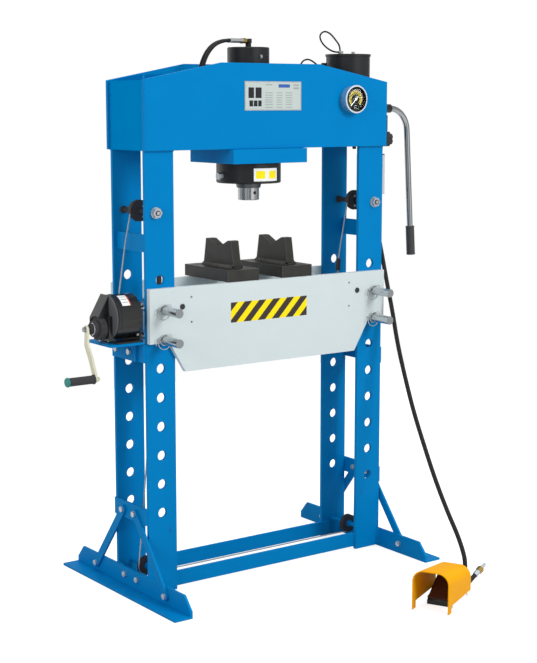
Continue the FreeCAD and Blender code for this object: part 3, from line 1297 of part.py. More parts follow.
def on_floor(piece):
    piece.Placement = pedal_place
    bind(piece, ".Placement.Base.x", mm.pedal_across)
    bind(piece, ".Placement.Base.y", -mm.pedal_front)
    return piece


def arch(place, height):
    """The guard's section: an upside-down U with round shoulders."""
    half = float(mm.guard_half)
    wall = float(mm.guard_wall)
    bend = float(mm.guard_arch)
    high = float(height)
    edges = []
    for inset in (0.0, wall):
        h, t, r = half - inset, high - inset, bend - inset
        cut_corner = r * (1 - math.sqrt(0.5))
        line_up = Part.LineSegment(Vector(place, -h, 0), Vector(place, -h, t - r)).toShape()
        turn_in = Part.Arc(Vector(place, -h, t - r), Vector(place, -h + cut_corner, t - cut_corner),
                           Vector(place, -h + r, t)).toShape()
        roof = Part.LineSegment(Vector(place, -h + r, t), Vector(place, h - r, t)).toShape()
        turn_out = Part.Arc(Vector(place, h - r, t), Vector(place, h - cut_corner, t - cut_corner),
                            Vector(place, h, t - r)).toShape()
        line_down = Part.LineSegment(Vector(place, h, t - r), Vector(place, h, 0)).toShape()
        edges.append([line_up, turn_in, roof, turn_out, line_down])
    ends = [Part.LineSegment(Vector(place, half, 0), Vector(place, half - wall, 0)).toShape(),
            Part.LineSegment(Vector(place, wall - half, 0), Vector(place, -half, 0)).toShape()]
    return Part.Wire(Part.__sortEdges__(edges[0] + edges[1] + ends))


guard = Part.makeLoft([arch(0, mm.guard_high), arch(float(mm.guard_long), mm.guard_rear_high)], True, True)
trim = Part.makeBox(float(mm.guard_long), 200, float(mm.guard_cut), vec(mm.guard_foot, -100, 0))
guard = guard.cut(trim)
keep("pedal_guard", on_floor(made(guard)))

half = mm.treadle_half
base = block((mm.treadle_start - 4, mm.guard_long - 4), (-half - 2, half + 2), (0, 14))
ears = [block((mm.treadle_start, mm.treadle_start + 14), (start, start + 2), (13, mm.treadle_rise + 6)) for start in (-half - 2, half)]
valve_start = mm.guard_long - mm.foot_valve_in
carriers = [block((valve_start, mm.guard_long - 6), (start, start + 23.4), (mm.guard_cut + 2, mm.guard_cut + 6))
            for start in (-half - 22.3, half - 1.1)]
posts = [block((valve_start, mm.guard_long - 6), (start, start + 6), (13, mm.guard_cut + 3)) for start in (-half, half - 6)]
valve_body = block((valve_start, mm.guard_long + mm.foot_valve_out), (-mm.foot_valve_left, mm.foot_valve_right),
                   (mm.foot_valve_low, mm.foot_valve_high))
elbow = rod("z", (mm.guard_long + 35, -32, 43), 22, mm.pedal_hose_radius + 1.5)
pedal_frame = fuse(base, *ears, *carriers, *posts, valve_body, elbow)
tilt = math.radians(float(mm.treadle_tilt))
plate = Part.makeBox(float(mm.treadle_long), float(half) * 2 - 1, float(mm.treadle_thick), Vector(0, -float(half) + 0.5, 0))
plate.Placement = Placement(vec(mm.treadle_start, 0, mm.treadle_rise), Rotation(Vector(0, 1, 0), -float(mm.treadle_tilt)))
curl = Part.makeCylinder(4, float(half) * 2 - 1, vec(mm.treadle_start + 4, -float(half) + 0.5, mm.treadle_rise), Vector(0, 1, 0))
keep("pedal_treadle", on_floor(made(plate.fuse(curl).removeSplitter())))

turn = math.radians(float(mm.pedal_turn))


def pedal_point(along, across, up):
    x = float(mm.pedal_across) + along * math.cos(turn) - across * math.sin(turn)
    y = -float(mm.pedal_front) + along * math.sin(turn) + across * math.cos(turn)
    return Vector(x, y, up)


hose_low = pedal_point(float(mm.guard_long) + 35, -32, 65)
hose_top = vec(hose_exit[0], hose_exit[1], mm.valve_low - 14)
hose("pedal_hose", [
    hose_top,
    hose_top + Vector(0, 0, -70),
    hose_top + Vector(3, -5, -146),
    Vector(524, -96, 1116),
    Vector(520, -132, 1010),
    Vector(510, -175, 916),
    Vector(493, -226, 800),
    Vector(484, -280, 686),
    Vector(471, -345, 568),
    Vector(457, -418, 462),
    Vector(440, -500, 352),
    Vector(425, -583, 255),
    Vector(411, -655, 185),
    hose_low + Vector(3, 8, 62),
    hose_low + Vector(0, 0, 28),
    hose_low], float(mm.pedal_hose_radius))

stub_start = pedal_point(float(mm.guard_long) + 10, -float(mm.foot_valve_left), 33)
stub_way = Vector(math.cos(math.radians(5)) * math.cos(math.radians(30)),
                  math.sin(math.radians(5)) * math.cos(math.radians(30)), math.sin(math.radians(30)))
stub = Part.makeCylinder(float(mm.pedal_hose_radius), 56, stub_start, stub_way)
for start, length, radius in ((54, 21, 9.5), (74, 16, 10.5), (89, 8, 7), (96, 17, 5)):
    stub = stub.fuse(Part.makeCylinder(radius, length, stub_start + stub_way * start, stub_way))
body_box = Part.makeBox(float(mm.foot_valve_in + mm.foot_valve_out), float(mm.foot_valve_left + mm.foot_valve_right),
                        float(mm.foot_valve_high - mm.foot_valve_low))
body_box.Placement = Placement(pedal_point(float(valve_start), -float(mm.foot_valve_left), float(mm.foot_valve_low)),
                               Rotation(Vector(0, 0, 1), float(mm.pedal_turn)))
keep("pedal_base", group(on_floor(pedal_frame), made(stub.cut(body_box))))

doc.recompute()
faults = []
for piece in doc.Objects:
    if "Invalid" in piece.State or "Error" in piece.State:
        faults.append(f"{piece.Label} {piece.State}")
    if piece.TypeId == "PartDesign::Pocket" and piece.BaseFeature.Shape.Volume - piece.Shape.Volume < 1:
        faults.append(f"{piece.Label} removes nothing")
for name, piece in pieces.items():
    if piece.Shape.isNull() or not piece.Shape.isValid() or not piece.Shape.Solids:
        faults.append(f"{name} has no valid solid")
if faults:
    raise RuntimeError("; ".join(faults))

os.makedirs("parts", exist_ok=True)
for name, piece in pieces.items():
    piece.Shape.exportStep(f"parts/{name}.step")
print(len(pieces), "pieces,", sum(len(piece.Shape.Solids) for piece in pieces.values()), "solids")
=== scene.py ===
"""Looks of a floor-standing hydraulic workshop press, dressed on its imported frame."""

import logging
import math
from dataclasses import dataclass
from enum import Enum
from typing import Callable, Sequence

import bmesh
import bpy
from mathutils import Matrix, Vector


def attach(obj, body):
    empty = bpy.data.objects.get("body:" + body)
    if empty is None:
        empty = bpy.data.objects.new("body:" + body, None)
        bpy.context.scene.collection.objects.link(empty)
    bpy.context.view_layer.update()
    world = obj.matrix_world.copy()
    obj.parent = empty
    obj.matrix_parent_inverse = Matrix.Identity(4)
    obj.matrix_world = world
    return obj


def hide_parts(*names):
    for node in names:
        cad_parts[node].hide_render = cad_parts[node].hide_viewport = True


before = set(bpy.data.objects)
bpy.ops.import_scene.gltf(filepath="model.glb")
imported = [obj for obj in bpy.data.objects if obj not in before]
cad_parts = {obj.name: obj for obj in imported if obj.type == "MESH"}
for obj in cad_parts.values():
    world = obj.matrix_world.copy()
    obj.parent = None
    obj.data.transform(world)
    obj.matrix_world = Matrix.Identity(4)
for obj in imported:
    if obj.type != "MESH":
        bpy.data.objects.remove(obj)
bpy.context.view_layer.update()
log = logging.getLogger("press")

MM = 0.001
Point = tuple[float, float, float]
Outline = Sequence[tuple[float, float]]


# Node helpers


def maths(tree: bpy.types.NodeTree, operation: str, first: float | bpy.types.NodeSocket,
          second: float | bpy.types.NodeSocket = 0.0) -> bpy.types.NodeSocket:
    """A sum in a node tree.

    Args:
        tree: The node tree to add to.
        operation: The kind of sum.
        first: Its first value, a number or a socket.
        second: Its second value.

    Returns:
        The socket of its result.
    """
    step = tree.nodes.new("ShaderNodeMath")
    step.operation = operation
    for place, value in enumerate((first, second)):
        if isinstance(value, (int, float)):
            step.inputs[place].default_value = value
        else:
            tree.links.new(value, step.inputs[place])
    return step.outputs["Value"]


def noise(tree: bpy.types.NodeTree, where: bpy.types.NodeSocket, scale: float,
          detail: float) -> bpy.types.NodeSocket:
    """A noise in a material.

    Args:
        tree: The material's node tree.
        where: The coordinates that it reads.
        scale: Features per metre.
        detail: Finer layers of the noise.

    Returns:
        The socket of its value.
    """
    made = tree.nodes.new("ShaderNodeTexNoise")
    made.inputs["Scale"].default_value = scale
    made.inputs["Detail"].default_value = detail
    tree.links.new(where, made.inputs["Vector"])
    return made.outputs["Fac"]


def spread(tree: bpy.types.NodeTree, value: bpy.types.NodeSocket, low: float, high: float,
           least: float, most: float) -> bpy.types.NodeSocket:
    """A value moved from one range to another.

    Args:
        tree: The material's node tree.
        value: The socket to read.
        low: Value that gives the least.
        high: Value that gives the most.
        least: Lowest result.
        most: Highest result.

    Returns:
        The socket of the result.
    """
    made = tree.nodes.new("ShaderNodeMapRange")
    for name, level in zip(("From Min", "From Max", "To Min", "To Max"), (low, high, least, most)):
        made.inputs[name].default_value = level
    tree.links.new(value, made.inputs["Value"])
    return made.outputs["Result"]


def emboss(tree: bpy.types.NodeTree, height: bpy.types.NodeSocket, strength: float, depth: float) -> None:
    """Gives a material's surface a fine relief.

    Args:
        tree: The material's node tree.
        height: The socket that holds the relief.
        strength: Strength of the bump.
        depth: Height of the bump in metres.
    """
    bump = tree.nodes.new("ShaderNodeBump")
    bump.inputs["Strength"].default_value = strength
    bump.inputs["Distance"].default_value = depth
    tree.links.new(height, bump.inputs["Height"])
    tree.links.new(bump.outputs["Normal"], tree.nodes["Principled BSDF"].inputs["Normal"])


# Finishes


class Grain(Enum):
    """How the fine marks of a surface run: the marks' scale along X, Y and Z."""

    EVEN = (1.0, 1.0, 1.0)
    TURNED_X = (1.0, 0.03, 0.03)
    TURNED_Y = (0.03, 1.0, 0.03)
    TURNED_Z = (0.03, 0.03, 1.0)
    DRAWN_X = (0.03, 1.0, 1.0)
    DRAWN_Z = (1.0, 1.0, 0.03)


def linear(hex_colour: str) -> tuple[float, float, float, float]:
    """A hex colour as linear light.

    Args:
        hex_colour: Six hex digits, red first.

    Returns:
        Red, green, blue and a full alpha.
    """
    shares = [int(hex_colour[place:place + 2], 16) / 255 for place in (0, 2, 4)]
    red, green, blue = (s / 12.92 if s <= 0.04045 else ((s + 0.055) / 1.055) ** 2.4 for s in shares)
    return red, green, blue, 1.0


@dataclass(frozen=True)
class Finish:
    """A surface finish: its colour, how that drifts, its gloss and its fine relief.

    Attributes:
        name: The material's name.
        colour: Main colour as hex.
        drift_to: Colour that patches drift towards.
        drift: Share of the second colour in the strongest patches.
        drift_scale: Patches per metre.
        roughness: Mean roughness.
        rough_drift: How far the roughness wanders each way.
        metallic: 1 for bare metal.
        specular: Specular level of the shader.
        coat: Weight of a clear coat.
        relief: Strength of the bump.
        relief_depth: Height of the bump in metres.
        relief_scale: Marks per metre.
        grain: Direction of the marks.
    """

    name: str
    colour: str
    drift_to: str
    drift: float = 0.35
    drift_scale: float = 9.0
    roughness: float = 0.4
    rough_drift: float = 0.06
    metallic: float = 0.0
    specular: float = 0.5
    coat: float = 0.0
    relief: float = 0.12
    relief_depth: float = 0.0004
    relief_scale: float = 420.0
    grain: Grain = Grain.EVEN

    def material(self) -> bpy.types.Material:
        """Gives the finish as a node material, made once and then shared.

        Returns:
            The material.
        """
        found = bpy.data.materials.get(self.name)
        if found:
            return found
        made = bpy.data.materials.new(self.name)
        made.use_nodes = True
        tree = made.node_tree
        surface = tree.nodes["Principled BSDF"].inputs
        where = tree.nodes.new("ShaderNodeTexCoord").outputs["Object"]

        patches = noise(tree, where, self.drift_scale, 5.0)
        blend = tree.nodes.new("ShaderNodeMix")
        blend.data_type = "RGBA"
        blend.inputs["A"].default_value = linear(self.colour)
        blend.inputs["B"].default_value = linear(self.drift_to)
        tree.links.new(spread(tree, patches, 0.35, 0.7, 0.0, self.drift), blend.inputs["Factor"])
        tree.links.new(blend.outputs["Result"], surface["Base Color"])

        stretched = tree.nodes.new("ShaderNodeMapping")
        stretched.inputs["Scale"].default_value = self.grain.value
        tree.links.new(where, stretched.inputs["Vector"])
        marks = noise(tree, stretched.outputs["Vector"], self.relief_scale, 3.0)
        gloss = spread(tree, patches if self.grain is Grain.EVEN else marks, 0.3, 0.7,
                       max(0.02, self.roughness - self.rough_drift), self.roughness + self.rough_drift)
        tree.links.new(gloss, surface["Roughness"])
        emboss(tree, marks, self.relief, self.relief_depth)
        for name, level in (("Metallic", self.metallic), ("Specular IOR Level", self.specular),
                            ("Coat Weight", self.coat), ("Coat Roughness", 0.12)):
            surface[name].default_value = level
        return made


@dataclass(frozen=True)
class ClearGlass:
    """Flat gauge glass with a faint waviness.

    Attributes:
        name: The material's name.
    """

    name: str = "gauge_glass_clear"

    def material(self) -> bpy.types.Material:
        """Gives the glass as a node material.

        Returns:
            The material.
        """
        made = bpy.data.materials.get(self.name) or bpy.data.materials.new(self.name)
        made.use_nodes = True
        tree = made.node_tree
        surface = tree.nodes["Principled BSDF"].inputs
        surface["Base Color"].default_value = (0.97, 0.99, 0.98, 1.0)
        surface["Transmission Weight"].default_value = 1.0
        surface["Roughness"].default_value = 0.02
        surface["IOR"].default_value = 1.05
        where = tree.nodes.new("ShaderNodeTexCoord").outputs["Object"]
        emboss(tree, noise(tree, where, 30.0, 2.0), 0.02, 0.0002)
        return made


def ink(name: str, colour: str, drift_to: str, roughness: float = 0.5) -> Finish:
    """A flat printed colour.

    Args:
        name: The material's name.
        colour: Main colour as hex.
        drift_to: Colour that patches drift towards.
        roughness: Mean roughness.

    Returns:
        The finish.
    """
    return Finish(name, colour, drift_to, roughness=roughness, specular=0.3, relief=0.05)


BLUE = Finish("enamel_blue", "007CBE", "0083C6", roughness=0.42, specular=0.05, relief=0.1)
BLUE_DEEP = Finish("enamel_blue_run", "0062A6", "006AAE", roughness=0.3, specular=0.3, relief=0.3)
BLUE_TOE = Finish("enamel_blue_toe", "0085CA", "008ACE", roughness=0.42, specular=0.06, relief=0.1)
BLUE_FLAT = Finish("enamel_blue_flat", "0080C2", "0087CA", roughness=0.6, specular=0.0, relief=0.1)
# Darker copy of the blue enamel for the left cover's top face: painted shade, because that top otherwise
# renders brighter than the rest
BLUE_PAINTED_SHADE = Finish("enamel_blue_painted_shade", "005694", "005C9C", roughness=0.7, specular=0.0, relief=0.1)
BLUE_WELD = Finish("enamel_blue_weld", "0078BA", "0081C4", roughness=0.4, specular=0.1,
                   relief=0.5, relief_depth=0.001, relief_scale=160.0)
PALE = Finish("enamel_pale_grey", "CEDADC", "D5E0E2", roughness=0.4, specular=0.3, relief=0.1)
YELLOW = Finish("enamel_yellow", "F8AC00", "FDB408", roughness=0.42, specular=0.04, relief=0.12)
ZINC = Finish("zinc_plate", "CDD2D5", "E0E3E4", roughness=0.3, metallic=0.8, drift_scale=60.0,
              relief=0.15, relief_scale=900.0, relief_depth=0.0002)
PASSIVATED = Finish("zinc_passivated", "DEDCC2", "CFCDB0", roughness=0.34, metallic=0.3, drift_scale=30.0,
                    relief=0.15, relief_scale=700.0, relief_depth=0.0002)
CHROME = Finish("chrome", "D6DADC", "E4E7E8", roughness=0.16, rough_drift=0.03, metallic=0.85,
                relief=0.05, relief_scale=700.0, relief_depth=0.0001)
CHROME_Z = Finish("chrome_bar", "B4B8BA", "C8CBCC", roughness=0.12, rough_drift=0.03, metallic=1.0,
                  relief=0.03, relief_scale=700.0, relief_depth=0.0001, grain=Grain.DRAWN_Z)
STEEL_Y = Finish("turned_steel_y", "C6CACC", "DADDDE", roughness=0.24, rough_drift=0.08, metallic=1.0,
                 relief=0.25, relief_scale=900.0, relief_depth=0.0002, grain=Grain.TURNED_Y)
STEEL_Z = Finish("turned_steel_z", "BEC2C4", "D6D9DA", roughness=0.22, rough_drift=0.06, metallic=1.0,
                 relief=0.1, relief_scale=900.0, relief_depth=0.0002, grain=Grain.TURNED_Z)
STEEL_X = Finish("turned_steel_x", "A5A9AA", "C2C5C5", roughness=0.24, rough_drift=0.08, metallic=1.0,
                 relief=0.25, relief_scale=900.0, relief_depth=0.0002, grain=Grain.TURNED_X)
STEEL_END = Finish("steel_end", "8F9597", "A3A8AA", roughness=0.45, metallic=0.4, relief=0.3,
                   relief_scale=700.0, relief_depth=0.0002)
STEEL_DARK = Finish("steel_dark", "5E6263", "74787A", roughness=0.34, metallic=1.0, relief=0.25,
                    relief_scale=700.0, relief_depth=0.0002)
BEZEL = Finish("bezel_bright", "E3EDF1", "EEF4F6", roughness=0.25, metallic=0.35, relief=0.05)
BRASS = Finish("brass", "B89A4E", "CBB068", roughness=0.3, metallic=1.0, drift_scale=80.0,
               relief=0.15, relief_scale=900.0, relief_depth=0.0002)
WIRE = Finish("wire_rope", "C9CDCF", "A4A9AB", roughness=0.35, metallic=0.6, drift=0.8, drift_scale=320.0,
              relief=0.6, relief_scale=500.0, relief_depth=0.0006)
BLACK_PAINT = Finish("black_paint", "1C1D1E", "262829", roughness=0.36, specular=0.5, relief=0.14)
BLACK_GLOSS = Finish("black_gloss", "191A1B", "212325", roughness=0.24, specular=0.5, coat=0.2, relief=0.1)
OXIDE = Finish("black_oxide", "272723", "33332E", drift=0.7, drift_scale=26.0, roughness=0.42,
               rough_drift=0.1, specular=0.5, relief=0.3, relief_scale=260.0, relief_depth=0.0006)
# Lighter grey for the V blocks' chamfered edges: partly worn bare steel, partly a painted highlight where
# the edges catch the light
OXIDE_WORN_EDGE_AND_HIGHLIGHT = Finish("black_oxide_worn_edge_and_highlight", "5C5C54", "46463F", drift=0.8, drift_scale=70.0, roughness=0.3,
                    specular=0.6, relief=0.4, relief_scale=300.0, relief_depth=0.0006)
PLASTIC = Finish("black_plastic", "161718", "1E2021", roughness=0.45, relief=0.3, relief_scale=1400.0,
                 relief_depth=0.0002)
RUBBER = Finish("black_rubber", "17181A", "212325", roughness=0.5, relief=0.35, relief_scale=1100.0,
                relief_depth=0.0003)
GRIP = Finish("grip_rubber", "3A3C3E", "45474A", roughness=0.48, relief=0.3, relief_scale=1200.0,
              relief_depth=0.0003)
BOOT_BROWN = Finish("treadle_brown", "40221B", "4D2C22", roughness=0.4, specular=0.4, relief=0.3)
GREEN = Finish("grip_green", "1A7F78", "269088", roughness=0.4, relief=0.2)
PLATE_SILVER = Finish("plate_silver", "C9D3CF", "D9E0DC", roughness=0.45, metallic=0.1, specular=0.4,
                      relief=0.05, grain=Grain.DRAWN_X)
PLATE_FIELD = ink("plate_field", "BCC7C4", "C6D0CD")
COVER_GREY = Finish("cover_grey", "505254", "5A5C5E", roughness=0.42, specular=0.4, relief=0.12)
STRIP_GREY = Finish("strip_grey", "C4C8CA", "CFD3D4", roughness=0.4, specular=0.4, relief=0.1)
INK_BLACK = ink("ink_black", "0E0F10", "141516")
INK_DARK = ink("ink_dark", "24262A", "2C2F33")
INK_GREY = ink("ink_grey", "97A19E", "A3ACA9")
INK_BLUE = ink("ink_blue", "3A5FA8", "4168B0")
INK_WHITE = ink("ink_white", "ECEEED", "F3F4F3")
INK_YELLOW = ink("ink_yellow", "FFE500", "FFEA1A", 0.45)
INK_STRIPE = ink("ink_stripe", "3A3230", "423A37", 0.45)
INK_GOLD = ink("ink_gold", "7E7428", "8A8032", 0.45)
INK_GOLD_LIGHT = ink("ink_gold_light", "AF9C48", "BDAA58", 0.45)
# A pinkish tint laid in an arc under the scale at the dial's upper right
DIAL_PINK_ARC = ink("dial_pink_arc", "7E7477", "8C8285", 0.45)
INK_RED = ink("ink_red", "B5503C", "C05C48")


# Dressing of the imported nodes


@dataclass(frozen=True)
class Region:
    """A box in which a node's faces have a finish of their own.

    Attributes:
        finish: The finish inside the box.
        low: Lowest corner in millimetres.
        high: Highest corner in millimetres.
    """

    finish: Finish
    low: Point
    high: Point


@dataclass(frozen=True)
class Dresser:
    """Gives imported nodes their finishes, smooth shading and small worked edges.

    Attributes:
        weld_distance: Points closer than this are joined, in metres.
        sharp_angle: Edges that turn more than this are sharp, in radians.
        flat_angle: Faces that turn less than this are one flat face, in radians.
        edge_steps: Faces across a chamfer.
    """

    weld_distance: float = 0.00001
    sharp_angle: float = math.radians(28)
    flat_angle: float = math.radians(0.4)
    edge_steps: int = 2

    def dress(self, names: Sequence[str], finish: Finish | ClearGlass, edge: float = 0.0,
              regions: Sequence[Region] = (), edge_finish: Finish | None = None) -> None:
        """Dresses nodes in one finish.

        Args:
            names: The nodes.
            finish: Their main finish.
            edge: Width of the edges' chamfer in millimetres, or 0 for none.
            regions: Boxes with other finishes.
            edge_finish: Finish of the chamfered edges, where it differs.
        """
        for name in names:
            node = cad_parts[name]
            node.data.materials.clear()
            node.data.materials.append(finish.material())
            self._skin(node, regions, edge == 0.0)
            if edge:
                self._ease(node, edge, edge_finish)
            log.info("dressed %s", name)

    def _ease(self, node: bpy.types.Object, edge: float, edge_finish: Finish | None) -> None:
        """Eases a node's sharp edges.

        Args:
            node: The node.
            edge: Width of the chamfer in millimetres.
            edge_finish: Finish of the chamfer, where it differs.
        """
        if edge_finish:
            node.data.materials.append(edge_finish.material())
        flat = node.modifiers.new("flat", "DECIMATE")
        flat.decimate_type = "DISSOLVE"
        flat.angle_limit = self.flat_angle
        flat.delimit = {"MATERIAL"}
        bevel = node.modifiers.new("edges", "BEVEL")
        bevel.width = edge * MM
        bevel.segments = self.edge_steps
        bevel.limit_method = "ANGLE"
        bevel.angle_limit = self.sharp_angle
        bevel.harden_normals = True
        bevel.use_clamp_overlap = True
        if edge_finish:
            bevel.material = 1

    def _skin(self, node: bpy.types.Object, regions: Sequence[Region], mark_sharp: bool) -> None:
        """Joins a node's faces, shades them smooth and sets the finishes of its regions.

        Args:
            node: The node.
            regions: Boxes with other finishes.
            mark_sharp: Keeps wide edges sharp, where no chamfer does.
        """
        tree = bpy.data.node_groups.new(f"{node.name}_skin", "GeometryNodeTree")
        for way in ("INPUT", "OUTPUT"):
            tree.interface.new_socket("Geometry", in_out=way, socket_type="NodeSocketGeometry")
        nodes, links = tree.nodes, tree.links
        last = nodes.new("NodeGroupInput").outputs["Geometry"]

        def through(kind: str) -> bpy.types.Node:
            """Adds a geometry node at the end of the chain.

            Args:
                kind: The node's type.

            Returns:
                The node.
            """
            nonlocal last
            step = nodes.new(kind)
            links.new(last, step.inputs["Geometry"])
            last = step.outputs["Geometry"]
            return step

        joined = through("GeometryNodeMergeByDistance")
        joined.inputs["Distance"].default_value = self.weld_distance
        through("GeometryNodeRemoveAttribute").inputs["Name"].default_value = "custom_normal"
        through("GeometryNodeSetShadeSmooth").inputs["Shade Smooth"].default_value = True
        if mark_sharp:
            angle = nodes.new("GeometryNodeInputMeshEdgeAngle").outputs["Unsigned Angle"]
            sharp = through("GeometryNodeSetShadeSmooth")
            sharp.domain = "EDGE"
            sharp.inputs["Shade Smooth"].default_value = False
            links.new(maths(tree, "GREATER_THAN", angle, self.sharp_angle), sharp.inputs["Selection"])
        for region in regions:
            chosen = through("GeometryNodeSetMaterial")
            chosen.inputs["Material"].default_value = region.finish.material()
            links.new(self._inside(tree, region), chosen.inputs["Selection"])
        links.new(last, nodes.new("NodeGroupOutput").inputs["Geometry"])
        node.modifiers.new("skin", "NODES").node_group = tree

    @staticmethod
    def _inside(tree: bpy.types.NodeTree, region: Region) -> bpy.types.NodeSocket:
        """Tests whether a face lies in a region's box.

        Args:
            tree: The geometry node tree.
            region: The region.

        Returns:
            A socket that is true inside the box.
        """
        low, high = Vector(region.low) * MM, Vector(region.high) * MM
        steps = (("SUBTRACT", (low + high) / 2), ("ABSOLUTE", None), ("DIVIDE", (high - low) / 2))
        value = tree.nodes.new("GeometryNodeInputPosition").outputs["Position"]
        for operation, operand in steps:
            step = tree.nodes.new("ShaderNodeVectorMath")
            step.operation = operation
            tree.links.new(value, step.inputs[0])
            if operand is not None:
                step.inputs[1].default_value = operand
            value = step.outputs["Vector"]
        parts = tree.nodes.new("ShaderNodeSeparateXYZ")
        tree.links.new(value, parts.inputs[0])
        largest = parts.outputs[0]
        for other in (1, 2):
            largest = maths(tree, "MAXIMUM", largest, parts.outputs[other])
        return maths(tree, "LESS_THAN", largest, 1.0)


# Mesh makers


Turning = tuple[Vector, Vector, Vector]


class Axis(Enum):
    """A turning axis: the direction it runs in and the two directions across it.

    X_FROM_TOP counts its angles from straight up towards the front.
    """

    X = (Vector((1, 0, 0)), Vector((0, 1, 0)), Vector((0, 0, 1)))
    X_FROM_TOP = (Vector((1, 0, 0)), Vector((0, 0, 1)), Vector((0, -1, 0)))
    Y = (Vector((0, 1, 0)), Vector((0, 0, 1)), Vector((1, 0, 0)))
    Z = (Vector((0, 0, 1)), Vector((1, 0, 0)), Vector((0, 1, 0)))


def tilted(along: Vector) -> Turning:
    """The turning directions of an axis that runs any way.

    Args:
        along: The axis's direction, of any length.

    Returns:
        The direction and the two across it.
    """
    unit = along.normalized()
    first = unit.orthogonal().normalized()
    return unit, first, unit.cross(first)


class Maker:
    """Makes the added pieces' meshes, all in the frame's own directions and in millimetres."""

    def __init__(self) -> None:
        """Starts with no pieces."""
        self.count = 0

    def piece(self, name: str, mesh: bmesh.types.BMesh, finishes: Sequence[Finish], body: str,
              slot: str, smooth_angle: float = math.radians(32)) -> bpy.types.Object:
        """Turns a bmesh into a piece that rides on a body.

        Args:
            name: The piece's name.
            mesh: Its faces; the bmesh is freed.
            finishes: Its materials, in the order of the faces' indices.
            body: The body it rides on.
            slot: Name of a material slot; not used.
            smooth_angle: Edges sharper than this stay sharp.

        Returns:
            The new object.
        """
        bmesh.ops.scale(mesh, vec=(MM, MM, MM), verts=mesh.verts)
        bmesh.ops.recalc_face_normals(mesh, faces=mesh.faces)
        for face in mesh.faces:
            face.smooth = True
        for edge in mesh.edges:
            edge.smooth = len(edge.link_faces) < 2 or edge.calc_face_angle(0.0) < smooth_angle
        data = bpy.data.meshes.new(name)
        mesh.to_mesh(data)
        mesh.free()
        for finish in finishes:
            data.materials.append(finish.material())
        made = bpy.data.objects.new(name, data)
        bpy.context.scene.collection.objects.link(made)
        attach(made, body)
        self.count += 1
        log.info("made %s", name)
        return made

    @staticmethod
    def bridge(mesh: bmesh.types.BMesh, rings: Sequence[Sequence[bmesh.types.BMVert]],
               material: int) -> None:
        """Closes a row of rings to one solid skin.

        Args:
            mesh: The bmesh that holds them.
            rings: The rings, each with as many points as the next.
            material: Material index of the faces.
        """
        count = len(rings[0])
        faces = [mesh.faces.new([near[i], near[(i + 1) % count], far[(i + 1) % count], far[i]])
                 for near, far in zip(rings, rings[1:]) for i in range(count)]
        faces += [mesh.faces.new(list(reversed(rings[0]))), mesh.faces.new(rings[-1])]
        for face in faces:
            face.material_index = material

    @staticmethod
    def lathe(mesh: bmesh.types.BMesh, axis: Turning, centre: Point, profile: Outline, steps: int = 48,
              material: int = 0, swell: Callable[[float, float], float] | None = None) -> None:
        """Adds a turned form.

        Args:
            mesh: The bmesh to add to.
            axis: The turning axis and the two directions across it.
            centre: A point on the axis.
            profile: Pairs of place along the axis and radius.
            steps: Faces round the axis.
            material: Material index of the faces.
            swell: Gives a factor for the radius from the angle and the place along.
        """
        along, first, second = axis
        rings = []
        for place, radius in profile:
            middle = Vector(centre) + along * place
            if radius <= 0:
                rings.append([mesh.verts.new(middle)])
                continue
            ring = []
            for step in range(steps):
                angle = 2 * math.pi * step / steps
                reach = radius * (swell(angle, place) if swell else 1.0)
                out = first * math.cos(angle) + second * math.sin(angle)
                ring.append(mesh.verts.new(middle + out * reach))
            rings.append(ring)
        for near, far in zip(rings, rings[1:]):
            for step in range(steps):
                following = (step + 1) % steps
                corners = [near[step % len(near)], near[following % len(near)],
                           far[following % len(far)], far[step % len(far)]]
                unique = list(dict.fromkeys(corners))
                if len(unique) > 2:
                    mesh.faces.new(unique).material_index = material

    @staticmethod
    def slab(mesh: bmesh.types.BMesh, outline: Sequence[Point], thickness: Vector,
             material: int = 0) -> None:
        """Adds a flat shape of some thickness.

        Args:
            mesh: The bmesh to add to.
            outline: Corners of one face, in order.
            thickness: Vector from that face to the other.
            material: Material index of the faces.
        """
        rings = [[mesh.verts.new(Vector(corner) + thickness * share) for corner in outline]
                 for share in (0, 1)]
        Maker.bridge(mesh, rings, material)

    @staticmethod
    def tube(mesh: bmesh.types.BMesh, route: Sequence[Vector], radii: Sequence[float], steps: int = 12,
             material: int = 0) -> None:
        """Adds a closed tube.

        Args:
            mesh: The bmesh to add to.
            route: Points on its middle line.
            radii: Its radius at each point.
            steps: Faces round the tube.
            material: Material index of the faces.
        """
        rings = []
        tangent = (route[1] - route[0]).normalized()
        side = tangent.orthogonal().normalized()
        for place, (spot, radius) in enumerate(zip(route, radii)):
            before, after = route[max(place - 1, 0)], route[min(place + 1, len(route) - 1)]
            turned = (after - before).normalized()
            side = (side - turned * side.dot(turned)).normalized()
            across = turned.cross(side)
            rings.append([mesh.verts.new(spot + (side * math.cos(a) + across * math.sin(a)) * radius)
                          for a in (2 * math.pi * step / steps for step in range(steps))])
        Maker.bridge(mesh, rings, material)

    @staticmethod
    def arc(mesh: bmesh.types.BMesh, axis: Turning, centre: Point, radii: tuple[float, float],
            places: tuple[float, float], turn: tuple[float, float], material: int = 0) -> None:
        """Adds a part of a ring.

        Args:
            mesh: The bmesh to add to.
            axis: The ring's axis and the two directions across it.
            centre: A point on the axis.
            radii: Inner and outer radius.
            places: Start and end along the axis.
            turn: Start and end angle in degrees, from the first direction to the second.
            material: Material index of the faces.
        """
        along, first, second = axis
        count = max(3, round(abs(turn[1] - turn[0]) / 5))
        loops = []
        for step in range(count + 1):
            angle = math.radians(turn[0] + (turn[1] - turn[0]) * step / count)
            out = first * math.cos(angle) + second * math.sin(angle)
            loops.append([mesh.verts.new(Vector(centre) + along * places[a] + out * radii[r])
                          for a, r in ((0, 0), (1, 0), (1, 1), (0, 1))])
        Maker.bridge(mesh, loops, material)

